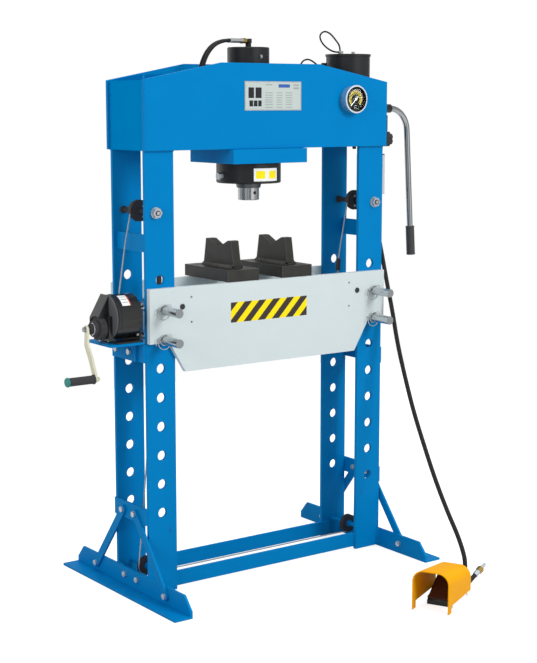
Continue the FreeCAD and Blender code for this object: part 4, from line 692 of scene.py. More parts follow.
    @staticmethod
    def bead(mesh: bmesh.types.BMesh, start: Point, end: Point, sides: tuple[Vector, Vector], leg: float,
             material: int = 0) -> None:
        """Adds a rippled weld bead in the corner between two faces.

        Args:
            mesh: The bmesh to add to.
            start: One end of the corner line.
            end: Its other end.
            sides: Directions along the two faces, away from the corner.
            leg: Width of the bead on each face.
            material: Material index of the faces.
        """
        run = Vector(end) - Vector(start)
        count = max(4, round(run.length / (leg * 0.45)))
        section = ((-0.06, -0.06), (1.0, -0.06), (0.8, 0.38), (0.38, 0.8), (-0.06, 1.0))
        rings = []
        for step in range(count + 1):
            ripple = (1.0, 0.9, 0.84)[step % 3] * (1 + 0.07 * math.sin(step * 1.9))
            reach = leg * (0.7 if step in (0, count) else ripple)
            spot = Vector(start) + run * step / count
            rings.append([mesh.verts.new(spot + sides[0] * reach * u + sides[1] * reach * v)
                          for u, v in section])
        Maker.bridge(mesh, rings, material)

    @staticmethod
    def hexagon(mesh: bmesh.types.BMesh, axis: Turning, centre: Point, across: float, length: float,
                material: int = 0) -> None:
        """Adds a hexagonal head with an eased outer face.

        Args:
            mesh: The bmesh to add to.
            axis: The bolt's axis and the two directions across it.
            centre: Middle of the face that it stands on.
            across: Distance between two flats.
            length: Height along the axis.
            material: Material index of the faces.
        """
        radius = across / math.sqrt(3)
        profile = [(0, 0), (0, radius), (length * 0.82, radius), (length, radius * 0.9), (length, 0)]
        Maker.lathe(mesh, axis, centre, profile, 6, material)


@dataclass(frozen=True)
class Cord:
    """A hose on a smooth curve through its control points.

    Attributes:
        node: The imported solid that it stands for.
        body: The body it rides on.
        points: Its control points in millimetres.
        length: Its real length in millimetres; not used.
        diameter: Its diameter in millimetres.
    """

    node: str
    body: str
    points: Sequence[Point]
    length: float
    diameter: float

    def build(self) -> None:
        name = f"{self.node}_curve"
        data = bpy.data.curves.new(name, "CURVE")
        data.dimensions = "3D"
        data.bevel_depth = self.diameter * MM / 2
        data.bevel_resolution = 4
        data.resolution_u = 12
        data.use_fill_caps = True
        spline = data.splines.new("NURBS")
        spline.points.add(len(self.points) - 1)
        for point, spot in zip(spline.points, self.points):
            point.co = (*(Vector(spot) * MM), 1.0)
        spline.order_u = 3
        spline.use_endpoint_u = True
        data.materials.append(RUBBER.material())
        made = bpy.data.objects.new(name, data)
        bpy.context.scene.collection.objects.link(made)
        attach(made, self.body)
        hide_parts(self.node)
        log.info("laid %s", name)


# Sub-assemblies


@dataclass
class Form:
    """A sub-assembly of the press.

    Attributes:
        maker: Makes the added pieces.
        dresser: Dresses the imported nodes.
    """

    maker: Maker
    dresser: Dresser


@dataclass
class Head(Form):
    """The head plates and covers, the sliding carriage, the name plate and the pressure gauge.

    Attributes:
        plate_corner: Upper left corner of the name plate on its front face.
        plate_size: Width and height of the name plate.
        dial_centre: Middle of the gauge's dial face.
        dial_radius: Radius of the dial.
        number_reach: Distance of the dial's numbers from its middle.
        number_size: Height of the dial's numbers.
        boss_spot: Top middle of the small boss under the head.
        corner: X and Y of the corner weld.
        corner_rises: Lower and upper end of the corner weld.
    """

    plate_corner: Point = (-117.0, -123.5, 1746.0)
    plate_size: tuple[float, float] = (241.0, 99.0)
    dial_centre: Point = (347.0, -150.0, 1685.5)
    dial_radius: float = 41.0
    number_reach: float = 38.0
    number_size: float = 4.4
    boss_spot: Point = (385.0, -98.0, 1517.2)
    corner: tuple[float, float] = (-515.5, -120.5)
    corner_rises: tuple[float, float] = (1520.0, 1763.0)

    def build(self) -> None:
        """Dresses the head and adds its plain prints, its dial, a small boss and the corner weld."""
        plates = ["head_front_plate", "head_rear_plate", "head_right_end", "carriage_block"]
        self.dresser.dress(plates, BLUE, 1.2)
        # The left cover's top takes the darker blue: painted shade on that face
        self.dresser.dress(["head_left_cover"], BLUE_FLAT, 1.2,
                           [Region(BLUE_PAINTED_SHADE, (-600, -200, 1745), (-300, 200, 1900))])
        self.dresser.dress(["name_plate"], PLATE_SILVER, 0.3)
        bezel = Region(BEZEL, (290, -158, 1630), (405, -155.6, 1740))
        self.dresser.dress(["gauge_case"], CHROME, 0.0, [bezel])
        self.dresser.dress(["gauge_glass"], ClearGlass())
        self.dresser.dress(["gauge_needle"], INK_WHITE)
        self._name_plate()
        self._dial()
        self._numbers()
        self._boss()
        self._corner_weld()

    def _field(self, mesh: bmesh.types.BMesh, box: tuple[float, float, float, float], lift: float,
               material: int) -> None:
        """Adds a flat field on the name plate.

        Args:
            mesh: The bmesh to add to.
            box: Its left, top, right and bottom edge, in shares of the plate.
            lift: Its thickness in millimetres.
            material: Material index of the faces.
        """
        wide, high = self.plate_size
        left, right = (self.plate_corner[0] + wide * share for share in (box[0], box[2]))
        top, bottom = (self.plate_corner[2] - high * share for share in (box[1], box[3]))
        y = self.plate_corner[1]
        self.maker.slab(mesh, [(left, y, bottom), (right, y, bottom), (right, y, top), (left, y, top)],
                        Vector((0, -lift, 0)), material)

    def _name_plate(self) -> None:
        """Prints the name plate with plain fields and bars only."""
        mesh = bmesh.new()
        self._field(mesh, (0.02, 0.04, 0.98, 0.96), 0.06, 0)
        for box in ((0.063, 0.213, 0.16, 0.574), (0.186, 0.213, 0.291, 0.574), (0.08, 0.656, 0.143, 0.86),
                    (0.156, 0.656, 0.219, 0.86), (0.232, 0.656, 0.291, 0.86)):
            self._field(mesh, box, 0.12, 1)
        self._field(mesh, (0.591, 0.098, 0.793, 0.213), 0.12, 3)
        for box in ((0.363, 0.1, 0.481, 0.136), (0.857, 0.1, 0.954, 0.15), (0.857, 0.2, 0.954, 0.262)):
            self._field(mesh, box, 0.12, 2)
        for row in (0.393, 0.475, 0.557, 0.639, 0.713, 0.795, 0.893):
            for left, right in ((0.354, 0.489), (0.557, 0.658), (0.717, 0.835)):
                self._field(mesh, (left, row - 0.014, right, row + 0.014), 0.12, 2)
        self.maker.piece("name_plate_fields", mesh, [PLATE_FIELD, INK_DARK, INK_GREY, INK_BLUE], "frame",
                         "plate_silver")

    def _dial(self) -> None:
        """Adds the dial face with its bands, scale and ticks."""
        mesh = bmesh.new()
        axis, centre, radius = Axis.Y.value, self.dial_centre, self.dial_radius
        self.maker.lathe(mesh, axis, centre, [(0, 0), (0, radius), (-0.05, radius), (-0.05, 0)], 64)
        rings = (((17.3, 25.0), (-0.08, -0.04), (-135, 135), 1),
                 ((25.0, 29.5), (-0.1, -0.04), (-135, 135), 2),
                 # Pinkish arc under the scale, only from -50 to 80 degrees
                 ((30.0, 34.5), (-0.08, -0.04), (-50, 80), 3),
                 ((40.9, 41.4), (-6.4, -0.02), (0, 360), 0),
                 ((41.0, 44.2), (-7.2, -6.9), (0, 360), 0))
        for radii, places, turn, material in rings:
            self.maker.arc(mesh, axis, centre, radii, places, turn, material)
        for step in range(51):
            angle = -135 + 5.4 * step
            inner = 29.5 if step % 5 == 0 else 31.5
            half = 0.55 if step % 5 == 0 else 0.25
            turn = (angle - half, angle + half)
            self.maker.arc(mesh, axis, centre, (inner, 34.5), (-0.14, -0.04), turn, 5)
        x, y, z = centre
        for rise, half, tall in ((9.5, 5.0, 1.6), (-22.5, 5.0, 1.5), (-31.0, 7.0, 1.2)):
            corners = ((-half, rise), (half, rise), (half, rise + tall), (-half, rise + tall))
            self.maker.slab(mesh, [(x + u, y - 0.05, z + v) for u, v in corners], Vector((0, -0.08, 0)), 5)
        inks = [INK_BLACK, INK_GOLD, INK_GOLD_LIGHT, DIAL_PINK_ARC, INK_WHITE, INK_GREY]
        self.maker.piece("gauge_dial", mesh, inks, "frame", "black_plastic")

    def _numbers(self) -> None:
        """Sets plain numbers round the dial."""
        mesh = bmesh.new()
        for place in range(6):
            data = bpy.data.curves.new("number", "FONT")
            data.body = str(place * 10)
            data.size = self.number_size
            data.align_x = data.align_y = "CENTER"
            letter = bpy.data.objects.new("number", data)
            bpy.context.scene.collection.objects.link(letter)
            shape = letter.to_mesh()
            angle = math.radians(-135 + 54 * place)
            reach = self.number_reach
            out = Vector((math.sin(angle) * reach, -0.12, math.cos(angle) * reach))
            spot = Vector(self.dial_centre) + out
            turn = Matrix.Translation(spot) @ Matrix.Rotation(math.pi / 2, 4, "X")
            shape.transform(turn)
            mesh.from_mesh(shape)
            letter.to_mesh_clear()
            bpy.data.objects.remove(letter)
        self.maker.piece("gauge_numbers", mesh, [INK_GREY], "frame", "plate_silver")

    def _boss(self) -> None:
        """Adds the small dark boss under the head's right end."""
        mesh = bmesh.new()
        profile = [(0, 0), (0, 7), (-8, 7), (-10, 5.5), (-10, 0)]
        self.maker.lathe(mesh, Axis.Z.value, self.boss_spot, profile, 24)
        self.maker.piece("head_boss", mesh, [BLACK_PAINT], "frame", "black_metal")

    def _corner_weld(self) -> None:
        """Adds the lumpy weld down the head's front left corner."""
        mesh = bmesh.new()
        low, high = self.corner_rises
        profile = [(low, 0.0)] + [(low + 3.0 * step, 2.6) for step in range(82)] + [(high, 0.0)]
        self.maker.lathe(mesh, Axis.Z.value, (*self.corner, 0), profile, 10, 0,
                         lambda angle, place: 1.0 + 0.3 * math.sin(place * 1.7 + 2 * angle))
        self.maker.piece("head_corner_weld", mesh, [BLUE_WELD], "frame", "frame_blue", math.radians(70))


@dataclass
class Uprights(Form):
    """The four posts, their ties, feet, braces, bolts and weld beads.

    Attributes:
        post_outer: Outer edge of the posts along X.
        post_inner: Inner edge of the posts along X.
        post_face: Outer face of the posts along Y.
        post_back: Inner face of the posts along Y.
        tie_half: Half width of the outer ties.
    """

    post_outer: float = 510.0
    post_inner: float = 398.0
    post_face: float = 110.0
    post_back: float = 98.0
    tie_half: float = 105.0

    def build(self) -> None:
        """Dresses the uprights and adds the welds and two runs of paint."""
        posts = [f"post_{place}" for place in ("front_left", "front_right", "rear_left", "rear_right")]
        self.dresser.dress(posts + ["side_ties", "cross_bars", "foot_braces"], BLUE, 1.2)
        toes = [Region(BLUE_TOE, (-590, side * 450 - 120, 0), (590, side * 450 + 120, 80))
                for side in (-1, 1)]
        self.dresser.dress(["foot_left", "foot_right"], BLUE, 1.2, toes)
        self.dresser.dress(["frame_bolts"], ZINC)
        self._welds()
        self._drips()

    def _welds(self) -> None:
        """Adds the weld beads of the feet, the ties, the head and the cross bars."""
        mesh = bmesh.new()
        down, up = Vector((0, 0, -1)), Vector((0, 0, 1))
        for side in (-1, 1):
            inward = Vector((-side, 0, 0))
            outward = Vector((side, 0, 0))
            outer, inner = side * self.post_outer, side * self.post_inner
            for way in (-1, 1):
                front = Vector((0, way, 0))
                back = -front
                face, lip = way * self.post_face, way * self.tie_half
                self.maker.bead(mesh, (outer, face, 8), (outer, face, 70), (inward, front), 6)
                self.maker.bead(mesh, (inner, face, 1517), (outer, face, 1517), (down, front), 6)
                self.maker.bead(mesh, (inner, way * self.post_back, 14), (inner, way * self.post_back, 67),
                                (inward, front), 6)
                for low, high in ((250, 308), (812, 875) if side < 0 else (708, 768)):
                    self.maker.bead(mesh, (outer, lip, low), (outer, lip, high), (outward, front), 4)
                self.maker.bead(mesh, (outer, way * 60, 70), (outer, face, 70), (up, outward), 3)
                self.maker.bead(mesh, (outer, lip - way * 18, 14), (outer, lip - way * 18, 66),
                                (inward, back), 4)
        self.maker.piece("frame_welds", mesh, [BLUE_WELD], "frame", "frame_blue", math.radians(50))

    def _drips(self) -> None:
        """Adds two small runs of paint low on the front posts."""
        mesh = bmesh.new()
        for x in (-425, 425):
            self.maker.lathe(mesh, Axis.Z.value, (x, -self.post_face + 1.2, 0),
                             [(214, 0), (216, 2.6), (222, 3.2), (229, 2.4), (236, 1.9), (240, 0)], 12)
        self.maker.piece("paint_runs", mesh, [BLUE_DEEP], "frame", "frame_blue")


@dataclass
class Bed(Form):
    """The pale bed with its pins, its striped panel and the two V blocks.

    Attributes:
        face: Front face of the bed along Y.
        panel_low: Lower left corner of the striped panel, X and Z.
        panel_size: Its width and height.
        stripe_start: Where a stripe starts along the panel's lower edge.
        stripe_step: Distance between stripes.
        stripe_wide: Width of a stripe along the panel.
        stripe_lean: How far a stripe leans to the right over the panel's height.
        pin_across: X of the pins, to each side.
        pin_rises: Heights of the upper and the lower pins.
        clip_front: Y of the wire of the pins' clips.
        block_starts: Where each V block's plate starts along X.
        block_top: Top of a V block's slab.
        vee_thick: Thickness of a V plate along X.
        vee_reach: Front and rear edge of a V plate along Y.
        cap_across: X of the tie rods, to each side.
        cap_rise: Height of the tie rods.
    """

    face: float = -128.5
    panel_low: tuple[float, float] = (-181.0, 923.0)
    panel_size: tuple[float, float] = (328.0, 70.0)
    stripe_start: float = -8.7
    stripe_step: float = 60.8
    stripe_wide: float = 31.5
    stripe_lean: float = 67.4
    pin_across: float = 454.0
    pin_rises: tuple[float, float] = (988.0, 888.0)
    clip_front: float = -137.5
    block_starts: tuple[float, float] = (-128.0, 104.0)
    block_top: float = 1103.0
    vee_thick: float = 32.0
    vee_reach: tuple[float, float] = (-70.0, 121.0)
    cap_across: float = 379.0
    cap_rise: float = 995.0

    def build(self) -> None:
        """Dresses the bed and adds the pins' clips, the panel, the rod caps and the block welds."""
        self.dresser.dress(["bed_front_plate", "bed_rear_plate", "bed_cross_members"], PALE, 1.2)
        regions = [Region(STEEL_END, (-600, -235, 700), (600, -228.8, 1100)),
                   Region(ZINC, (-600, -135.5, 700), (600, -130.5, 1100))]
        for side in ("left", "right"):
            for level in ("upper", "lower"):
                self.dresser.dress([f"bed_pin_{side}_{level}"], STEEL_Y, 0.0, regions)
                self._clip(side, level)
        # The chamfers take the lighter colour: worn edges and a painted highlight together
        self.dresser.dress(["v_block_left", "v_block_right"], OXIDE, 1.6, (), OXIDE_WORN_EDGE_AND_HIGHLIGHT)
        self._panel()
        self._rod_caps()
        self._block_welds()

    def _panel(self) -> None:
        """Adds the yellow panel with its dark leaning stripes."""
        mesh = bmesh.new()
        left, low = self.panel_low
        wide, high = self.panel_size
        self.maker.slab(mesh, [(left, self.face, low), (left + wide, self.face, low),
                               (left + wide, self.face, low + high), (left, self.face, low + high)],
                        Vector((0, -0.15, 0)), 0)
        for place in range(-1, 7):
            start = self.stripe_start + place * self.stripe_step
            outline = self._clipped([(start, 0.0), (start + self.stripe_wide, 0.0),
                                     (start + self.stripe_wide + self.stripe_lean, high),
                                     (start + self.stripe_lean, high)], wide)
            if len(outline) > 2:
                self.maker.slab(mesh, [(left + u, self.face - 0.1, low + v) for u, v in outline],
                                Vector((0, -0.2, 0)), 1)
        self.maker.piece("bed_stripes", mesh, [INK_YELLOW, INK_STRIPE], "frame", "pedal_yellow")

    def _rod_caps(self) -> None:
        """Adds the dark round caps on the ends of the tie rods."""
        mesh = bmesh.new()
        profile = [(-0.5, 0), (-0.5, 9.5), (2.2, 9.5), (3.6, 8.0), (4.0, 5.5), (3.2, 4.5), (3.2, 0)]
        for side in (-1, 1):
            for way in (-1, 1):
                spot = (side * self.cap_across, -way * self.face, self.cap_rise)
                self.maker.lathe(mesh, tilted(Vector((0, way, 0))), spot, profile, 32)
        self.maker.piece("tie_rod_caps", mesh, [PLASTIC], "frame", "black_plastic")

    def _clip(self, side: str, level: str) -> None:
        """Adds the bent wire of a pin's clip, over the pin and down both sides.

        Args:
            side: The pin's side, left or right.
            level: The pin's level, upper or lower.
        """
        x = -self.pin_across if side == "left" else self.pin_across
        z = self.pin_rises[0] if level == "upper" else self.pin_rises[1]
        route = [(-36, -15), (-34, -4), (-30, 7), (-26, 10), (-22, 6), (-19, 0), (-18, 6), (-14, 13),
                 (-7, 18), (0, 19.5), (7, 18), (12, 16), (15, 19), (19, 21), (23, 16), (27, 8)]
        mesh = bmesh.new()
        wire = [Vector((x + u, self.clip_front, z + v)) for u, v in route]
        self.maker.tube(mesh, wire, [1.5] * len(wire), 8)
        self.maker.piece(f"pin_clip_{side}_{level}", mesh, [CHROME], f"pin_{side}_{level}", "steel_zinc",
                         math.radians(60))

    @staticmethod
    def _clipped(outline: Outline, wide: float) -> list[tuple[float, float]]:
        """Trims an outline.

        Args:
            outline: Its corners in order.
            wide: Width that it is trimmed to, from 0.

        Returns:
            The corners of what is left.
        """
        for limit, sign in ((0.0, 1.0), (wide, -1.0)):
            kept: list[tuple[float, float]] = []
            for near, far in zip(outline, list(outline[1:]) + [outline[0]]):
                ahead, behind = sign * (near[0] - limit), sign * (far[0] - limit)
                if ahead >= 0:
                    kept.append(near)
                if ahead * behind < 0:
                    share = ahead / (ahead - behind)
                    kept.append((limit, near[1] + (far[1] - near[1]) * share))
            outline = kept
        return list(outline)

    def _block_welds(self) -> None:
        """Adds the beads round the feet of the V plates."""
        for name, start in zip(("left", "right"), self.block_starts):
            mesh = bmesh.new()
            end, top = start + self.vee_thick, self.block_top
            front, rear = self.vee_reach
            up = Vector((0, 0, 1))
            for x, side in ((start, -1), (end, 1)):
                self.maker.bead(mesh, (x, front, top), (x, rear, top), (Vector((side, 0, 0)), up), 12.5)
            for y, side in ((front, -1), (rear, 1)):
                self.maker.bead(mesh, (start, y, top), (end, y, top), (Vector((0, side, 0)), up), 8)
            self.maker.piece(f"v_block_weld_{name}", mesh, [OXIDE], "frame", "block_black", math.radians(50))


@dataclass
class Cylinder(Form):
    """The hydraulic cylinder, its ring and rod, its two hoses and its plain label.

    Attributes:
        ring_centre: X of the ring's axis.
        ring_radius: Radius of the ring.
        label: Lower and upper edge of the label.
        label_turn: Start and end bearing of the label in degrees.
    """

    ring_centre: float = -15.0
    ring_radius: float = 114.0
    label: tuple[float, float] = (1404.0, 1448.5)
    label_turn: tuple[float, float] = (-115.9, -65.6)

    def build(self) -> None:
        """Dresses the cylinder and adds the hoses and the label."""
        self.dresser.dress(["ram_barrel"], BLACK_PAINT, 0.0, [
            Region(CHROME, (-98, -22, 1870), (-43.4, 22, 1900)),
            Region(INK_WHITE, (-98, -22, 1870), (-90, 22, 1900)),
            Region(BRASS, (-44.4, -22, 1870), (-30.4, 22, 1900)),
            Region(STEEL_Z, (-27, -83, 1819), (-3, -73.8, 1843))])
        self.dresser.dress(["ram_flange"], BLACK_PAINT, 0.0, [
            Region(STEEL_DARK, (-90, -90, 1375), (60, 90, 1394.5)),
            Region(ZINC, (-150, -12, 1400), (-129.5, 12, 1460))])
        self.dresser.dress(["ram_rod"], STEEL_Z)
        self._label()
        for name, side in (("front", -8.0), ("rear", 8.0)):
            route = [(x, side, z) for x, z in ((-97, 1886), (-119, 1886), (-164, 1870), (-198, 1830),
                                               (-216, 1776), (-224, 1716), (-228, 1656), (-230, 1604),
                                               (-230, 1567.4))]
            Cord(f"ram_hose_{name}", "carriage", route, 387, 12).build()

    def _label(self) -> None:
        """Wraps a white label with two yellow fields round the front of the ring."""
        mesh = bmesh.new()
        low, high = self.label
        start, end = self.label_turn
        centre = (self.ring_centre, 0, 0)
        radius = self.ring_radius
        self.maker.arc(mesh, Axis.Z.value, centre, (radius - 0.1, radius + 0.3), (low, high), (start, end))
        middle = (start + end) / 2
        quarter = (end - start) / 4
        for place in (middle - quarter, middle + quarter):
            self.maker.arc(mesh, Axis.Z.value, centre, (radius + 0.2, radius + 0.45), (low + 9, high - 9),
                           (place - 8.5, place + 8.5), 1)
        self.maker.piece("ring_label", mesh, [INK_WHITE, INK_YELLOW], "carriage", "plate_silver")


@dataclass
class OilUnit(Form):
    """The reservoir, its small hoses, the pump with its lever and knob, and the air valve.

    Attributes:
        grip_top: Upper middle of the lever's grip.
        grip_way: Direction of the grip.
        grip_long: Its length.
        grip_radius: Its radius.
        plate_edges: Left, low, right and high edge of the valve's light plate, along X and Z.
        valve_front: Front face of the air valve along Y.
    """

    grip_top: Point = (691.27, -60.0, 1210.79)
    grip_way: Point = (0.0617, 0.0, -0.99809)
    grip_long: float = 109.0
    grip_radius: float = 16.0
    plate_edges: tuple[float, float, float, float] = (511.5, 1339.0, 530.2, 1483.0)
    valve_front: float = -97.9

    def build(self) -> None:
        """Dresses the oil unit and adds its small hoses, the valve's light plate and the grip's ribs."""
        cap = Region(ZINC, (385, -20, 1848.6), (470, 20, 1862))
        self.dresser.dress(["reservoir"], BLACK_PAINT, 0.0, [cap])
        self.dresser.dress(["pump_body"], BLACK_PAINT, 0.8)
        self.dresser.dress(["lever_socket"], BLACK_GLOSS, 0.8)
        self.dresser.dress(["lever_tube"], CHROME_Z)
        self.dresser.dress(["lever_grip"], GRIP, 1.2)
        self.dresser.dress(["release_knob"], PLASTIC, 0.6)
        # Black body: painted shade on the valve box's sides; the box's grey shows only on the plate that
        # _valve_plate adds
        self.dresser.dress(["air_valve"], PLASTIC, 0.8)
        loop = [(398, 5, 1860), (398, 5, 1878), (378, 7, 1900), (354, 7, 1922), (324, 5, 1930),
                (300, 2, 1914), (306, -1, 1890), (328, -3, 1870), (360, -5, 1855), (382, -5, 1855)]
        Cord("loop_tube", "frame", loop, 246, 6).build()
        back = [(x, 60, z) for x, z in ((360, 1806), (340, 1806), (312, 1825), (286, 1831), (262, 1818),
                                        (252, 1788), (256, 1752), (278, 1718), (312, 1694), (342, 1680),
                                        (366, 1680))]
        Cord("return_hose", "frame", back, 310, 6).build()
        self._valve_plate()
        self._ribs()

    def _valve_plate(self) -> None:
        """Adds a light grey plate on the air valve's front, beside the post: the box's grey, kept to its lit
        front, while the box's black body is painted shade.
        """
        mesh = bmesh.new()
        left, low, right, high = self.plate_edges
        corners = ((left, low), (right, low), (right, high), (left, high))
        self.maker.slab(mesh, [(x, self.valve_front, z) for x, z in corners], Vector((0, -1.1, 0)))
        self.maker.piece("air_valve_plate", mesh, [STRIP_GREY], "frame", "plate_silver")

    def _ribs(self) -> None:
        """Adds the collars and the fine ribs of the lever's grip."""
        mesh = bmesh.new()
        axis = tilted(Vector(self.grip_way))
        radius = self.grip_radius
        profiles = []
        for start in (0.0, self.grip_long - 6.0):
            profiles.append([(start, -0.4), (start + 1, 1.0), (start + 4, 1.0), (start + 5, -0.4)])
        for start in (14.0 + 7.0 * place for place in range(12)):
            profiles.append([(start, -0.3), (start + 0.9, 0.45), (start + 2.7, 0.45), (start + 3.6, -0.3)])
        for profile in profiles:
            outline = [(place, radius + rise) for place, rise in profile]
            self.maker.lathe(mesh, axis, self.grip_top, outline, 40)
        self.maker.piece("grip_ribs", mesh, [GRIP], "lever", "black_plastic", math.radians(60))


@dataclass
class Winch(Form):
    """The hand winch that lifts the bed: its frame, cover, drum, crank and small fittings.

    Attributes:
        axis_spot: Y and Z of the drum's axis.
        crank_spot: Y and Z of the crank's axis.
        cover_radius: Outer radius of the cover.
        side_face: X of the side plate's outer face.
    """

    axis_spot: tuple[float, float] = (-45.0, 970.0)
    crank_spot: tuple[float, float] = (-45.0, 936.0)
    cover_radius: float = 75.0
    side_face: float = -629.5

    def build(self) -> None:
        """Dresses the winch and adds its label, its cover's lip and face, its bolts and the crank's nut."""
        self.dresser.dress(["winch_bracket"], BLUE, 1.2)
        self.dresser.dress(["winch_frame"], BLACK_PAINT, 0.8)
        self.dresser.dress(["winch_cover"], BLACK_GLOSS, 1.2)
        self.dresser.dress(["winch_drum"], ZINC)
        shaft = Region(STEEL_X, (-716, -60, 920), (-689.5, -30, 950))
        cap = Region(GREEN, (-808, -112, 755), (-799, -75, 800))
        self.dresser.dress(["crank_hub"], PLASTIC, 0.0, [shaft])
        self.dresser.dress(["crank_arm"], PASSIVATED, 0.8)
        self.dresser.dress(["crank_grip"], PLASTIC, 0.0, [cap])
        self._label()
        self._lip()
        self._face()
        self._bolts()
        self._nut()

    def _label(self) -> None:
        """Lays a small plain label over the cover's front shoulder."""
        mesh = bmesh.new()
        centre, radius = (0, *self.axis_spot), self.cover_radius
        fields = [(-0.2, 0.25, (-598, -565), (17.5, 55.5), 0), (0.1, 0.35, (-569, -565), (17.5, 55.5), 1)]
        for start in (24, 34, 44):
            fields.append((0.1, 0.35, (-594, -573), (start, start + 2.5), 2))
        for low, high, places, turn, material in fields:
            self.maker.arc(mesh, Axis.X_FROM_TOP.value, centre, (radius + low, radius + high), places, turn,
                           material)
        self.maker.piece("winch_label", mesh, [INK_WHITE, INK_RED, INK_GREY], "frame", "plate_silver")

    def _lip(self) -> None:
        """Adds the rolled lip of the cover."""
        mesh = bmesh.new()
        radii = (self.cover_radius - 0.6, self.cover_radius + 1.2)
        self.maker.arc(mesh, Axis.X_FROM_TOP.value, (0, *self.axis_spot), radii, (-608, -604.5), (-88, 118))
        self.maker.piece("winch_cover_lip", mesh, [BLACK_GLOSS], "frame", "black_metal")

    def _face(self) -> None:
        """Closes the cover's left end with a grey ring plate and its raised rim."""
        mesh = bmesh.new()
        profile = [(-625.5, 16), (-625.5, 73.5), (-623.5, 74.6), (-621.5, 74.6), (-621.5, 16), (-625.5, 16)]
        self.maker.lathe(mesh, Axis.X.value, (0, *self.axis_spot), profile, 72)
        self.maker.piece("winch_cover_face", mesh, [COVER_GREY], "frame", "black_metal")

    def _bolts(self) -> None:
        """Adds the bolts of the side plate and the spacer rods towards the post."""
        mesh = bmesh.new()
        left = tilted(Vector((-1, 0, 0)))
        for y, z, across in ((-65, 950, 10), (-64, 900, 11), (-17, 891, 11)):
            washer = [(0, 0), (0, across * 0.85), (1.2, across * 0.85), (1.2, 0)]
            self.maker.lathe(mesh, left, (self.side_face, y, z), washer, 24)
            self.maker.hexagon(mesh, left, (self.side_face - 1.0, y, z), across, 5.5)
        for y, z, radius in ((-90, 1008, 6.0), (-22, 1012, 4.0), (-91, 910, 5.0)):
            rod = [(0, 0), (0, radius), (26.5, radius), (26.5, 0)]
            self.maker.lathe(mesh, Axis.X.value, (-537, y, z), rod, 20)
            self.maker.hexagon(mesh, left, (-512, y, z), 13, -8)
        self.maker.piece("winch_fittings", mesh, [ZINC], "frame", "steel_zinc")

    def _nut(self) -> None:
        """Adds the half ring behind the crank's hub, and its nut on a washer."""
        mesh = bmesh.new()
        left = tilted(Vector((-1, 0, 0)))
        centre = (0, *self.crank_spot)
        self.maker.arc(mesh, Axis.X_FROM_TOP.value, centre, (19.0, 22.5), (-682.5, -677.5), (10, 170))
        washer = [(0, 8), (0, 10.5), (1.4, 10.5), (1.4, 8)]
        self.maker.lathe(mesh, left, (-705.8, *self.crank_spot), washer, 28)
        self.maker.hexagon(mesh, left, (-707.2, *self.crank_spot), 15, 5.4, 1)
        self.maker.piece("crank_nut", mesh, [CHROME, PLASTIC], "crank", "steel_bright")


@dataclass
class Lift(Form):
    """The four pulleys, their axles and guards, and the two cables that carry the bed.

    Attributes:
        upper: X of the upper pulleys' axles, and their height.
        guard_reach: Radius of the guards over the upper pulleys.
        plug_front: Y at which the plugs in the front nuts start.
    """

    upper: tuple[float, float] = (470.0, 1313.0)
    guard_reach: float = 38.5
    plug_front: float = -127.0

    def build(self) -> None:
        """Dresses the pulleys and cables and adds the guards, the sleeves and the nuts' plugs."""
        pulleys = [f"pulley_{level}_{side}" for level in ("upper", "lower") for side in ("left", "right")]
        self.dresser.dress(pulleys, PLASTIC, 0.4)
        self.dresser.dress(["pulley_axles"], PLASTIC, 0.0, [
            Region(ZINC, (-600, -131, 1280), (600, -109.8, 1350)),
            Region(BLUE, (-600, -131, 0), (600, -6, 130)),
            Region(BLUE, (-600, 13.5, 0), (600, 131, 130))])
        ends = [Region(PLASTIC, (side * 400 - 40, -20, 1050), (side * 400 + 40, 20, 1101))
                for side in (1, -1)]
        self.dresser.dress(["lift_cable_left", "lift_cable_right"], WIRE, 0.0, ends)
        self._guards()
        self._sleeves()
        self._plugs()

    def _guards(self) -> None:
        """Adds the folded guards over the upper pulleys, with their rivets."""
        for side, front in ((-1, -16.5), (1, -10.0)):
            mesh = bmesh.new()
            x, z = side * self.upper[0], self.upper[1]
            reach = self.guard_reach
            turns = [math.radians(angle) for angle in range(-150, 151, 15)]
            outline = [(x + side * reach * math.sin(a), front, z + reach * math.cos(a)) for a in turns]
            self.maker.slab(mesh, outline, Vector((0, 1.6, 0)))
            axis = (Vector((0, 1, 0)), Vector((0, 0, 1)), Vector((side, 0, 0)))
            self.maker.arc(mesh, axis, (x, front, z), (reach - 1.4, reach), (0, 20), (-100, 100), 0)
            out = tilted(Vector((0, -1, 0)))
            rivet = [(0, 0), (0, 4.2), (1.4, 3.6), (2.2, 2.0), (2.2, 0)]
            for u, v in ((x - side * 10, z + 17), (x - side * 9, z - 18)):
                self.maker.lathe(mesh, out, (u, front, v), rivet, 20, 1)
            name = "left" if side < 0 else "right"
            self.maker.piece(f"pulley_guard_{name}", mesh, [PLASTIC, ZINC], "frame", "black_plastic")

    def _sleeves(self) -> None:
        """Adds the spacer sleeves on the upper axles behind the pulleys."""
        mesh = bmesh.new()
        for side in (-1, 1):
            self.maker.lathe(mesh, Axis.Y.value, (side * self.upper[0], 0, self.upper[1]),
                             [(90, 9.0), (90, 13), (97.8, 13), (97.8, 9.0)], 32)
        self.maker.piece("axle_sleeves", mesh, [PLASTIC], "frame", "black_plastic")

    def _plugs(self) -> None:
        """Adds the dark plastic plugs in the front nuts."""
        mesh = bmesh.new()
        for side in (-1, 1):
            spot = (side * self.upper[0], self.plug_front, self.upper[1])
            self.maker.lathe(mesh, tilted(Vector((0, -1, 0))), spot,
                             [(0, 6), (0, 8.5), (2.6, 8.5), (3.4, 7.6), (3.4, 6)], 28)
        self.maker.piece("axle_plugs", mesh, [PLASTIC], "frame", "black_plastic")


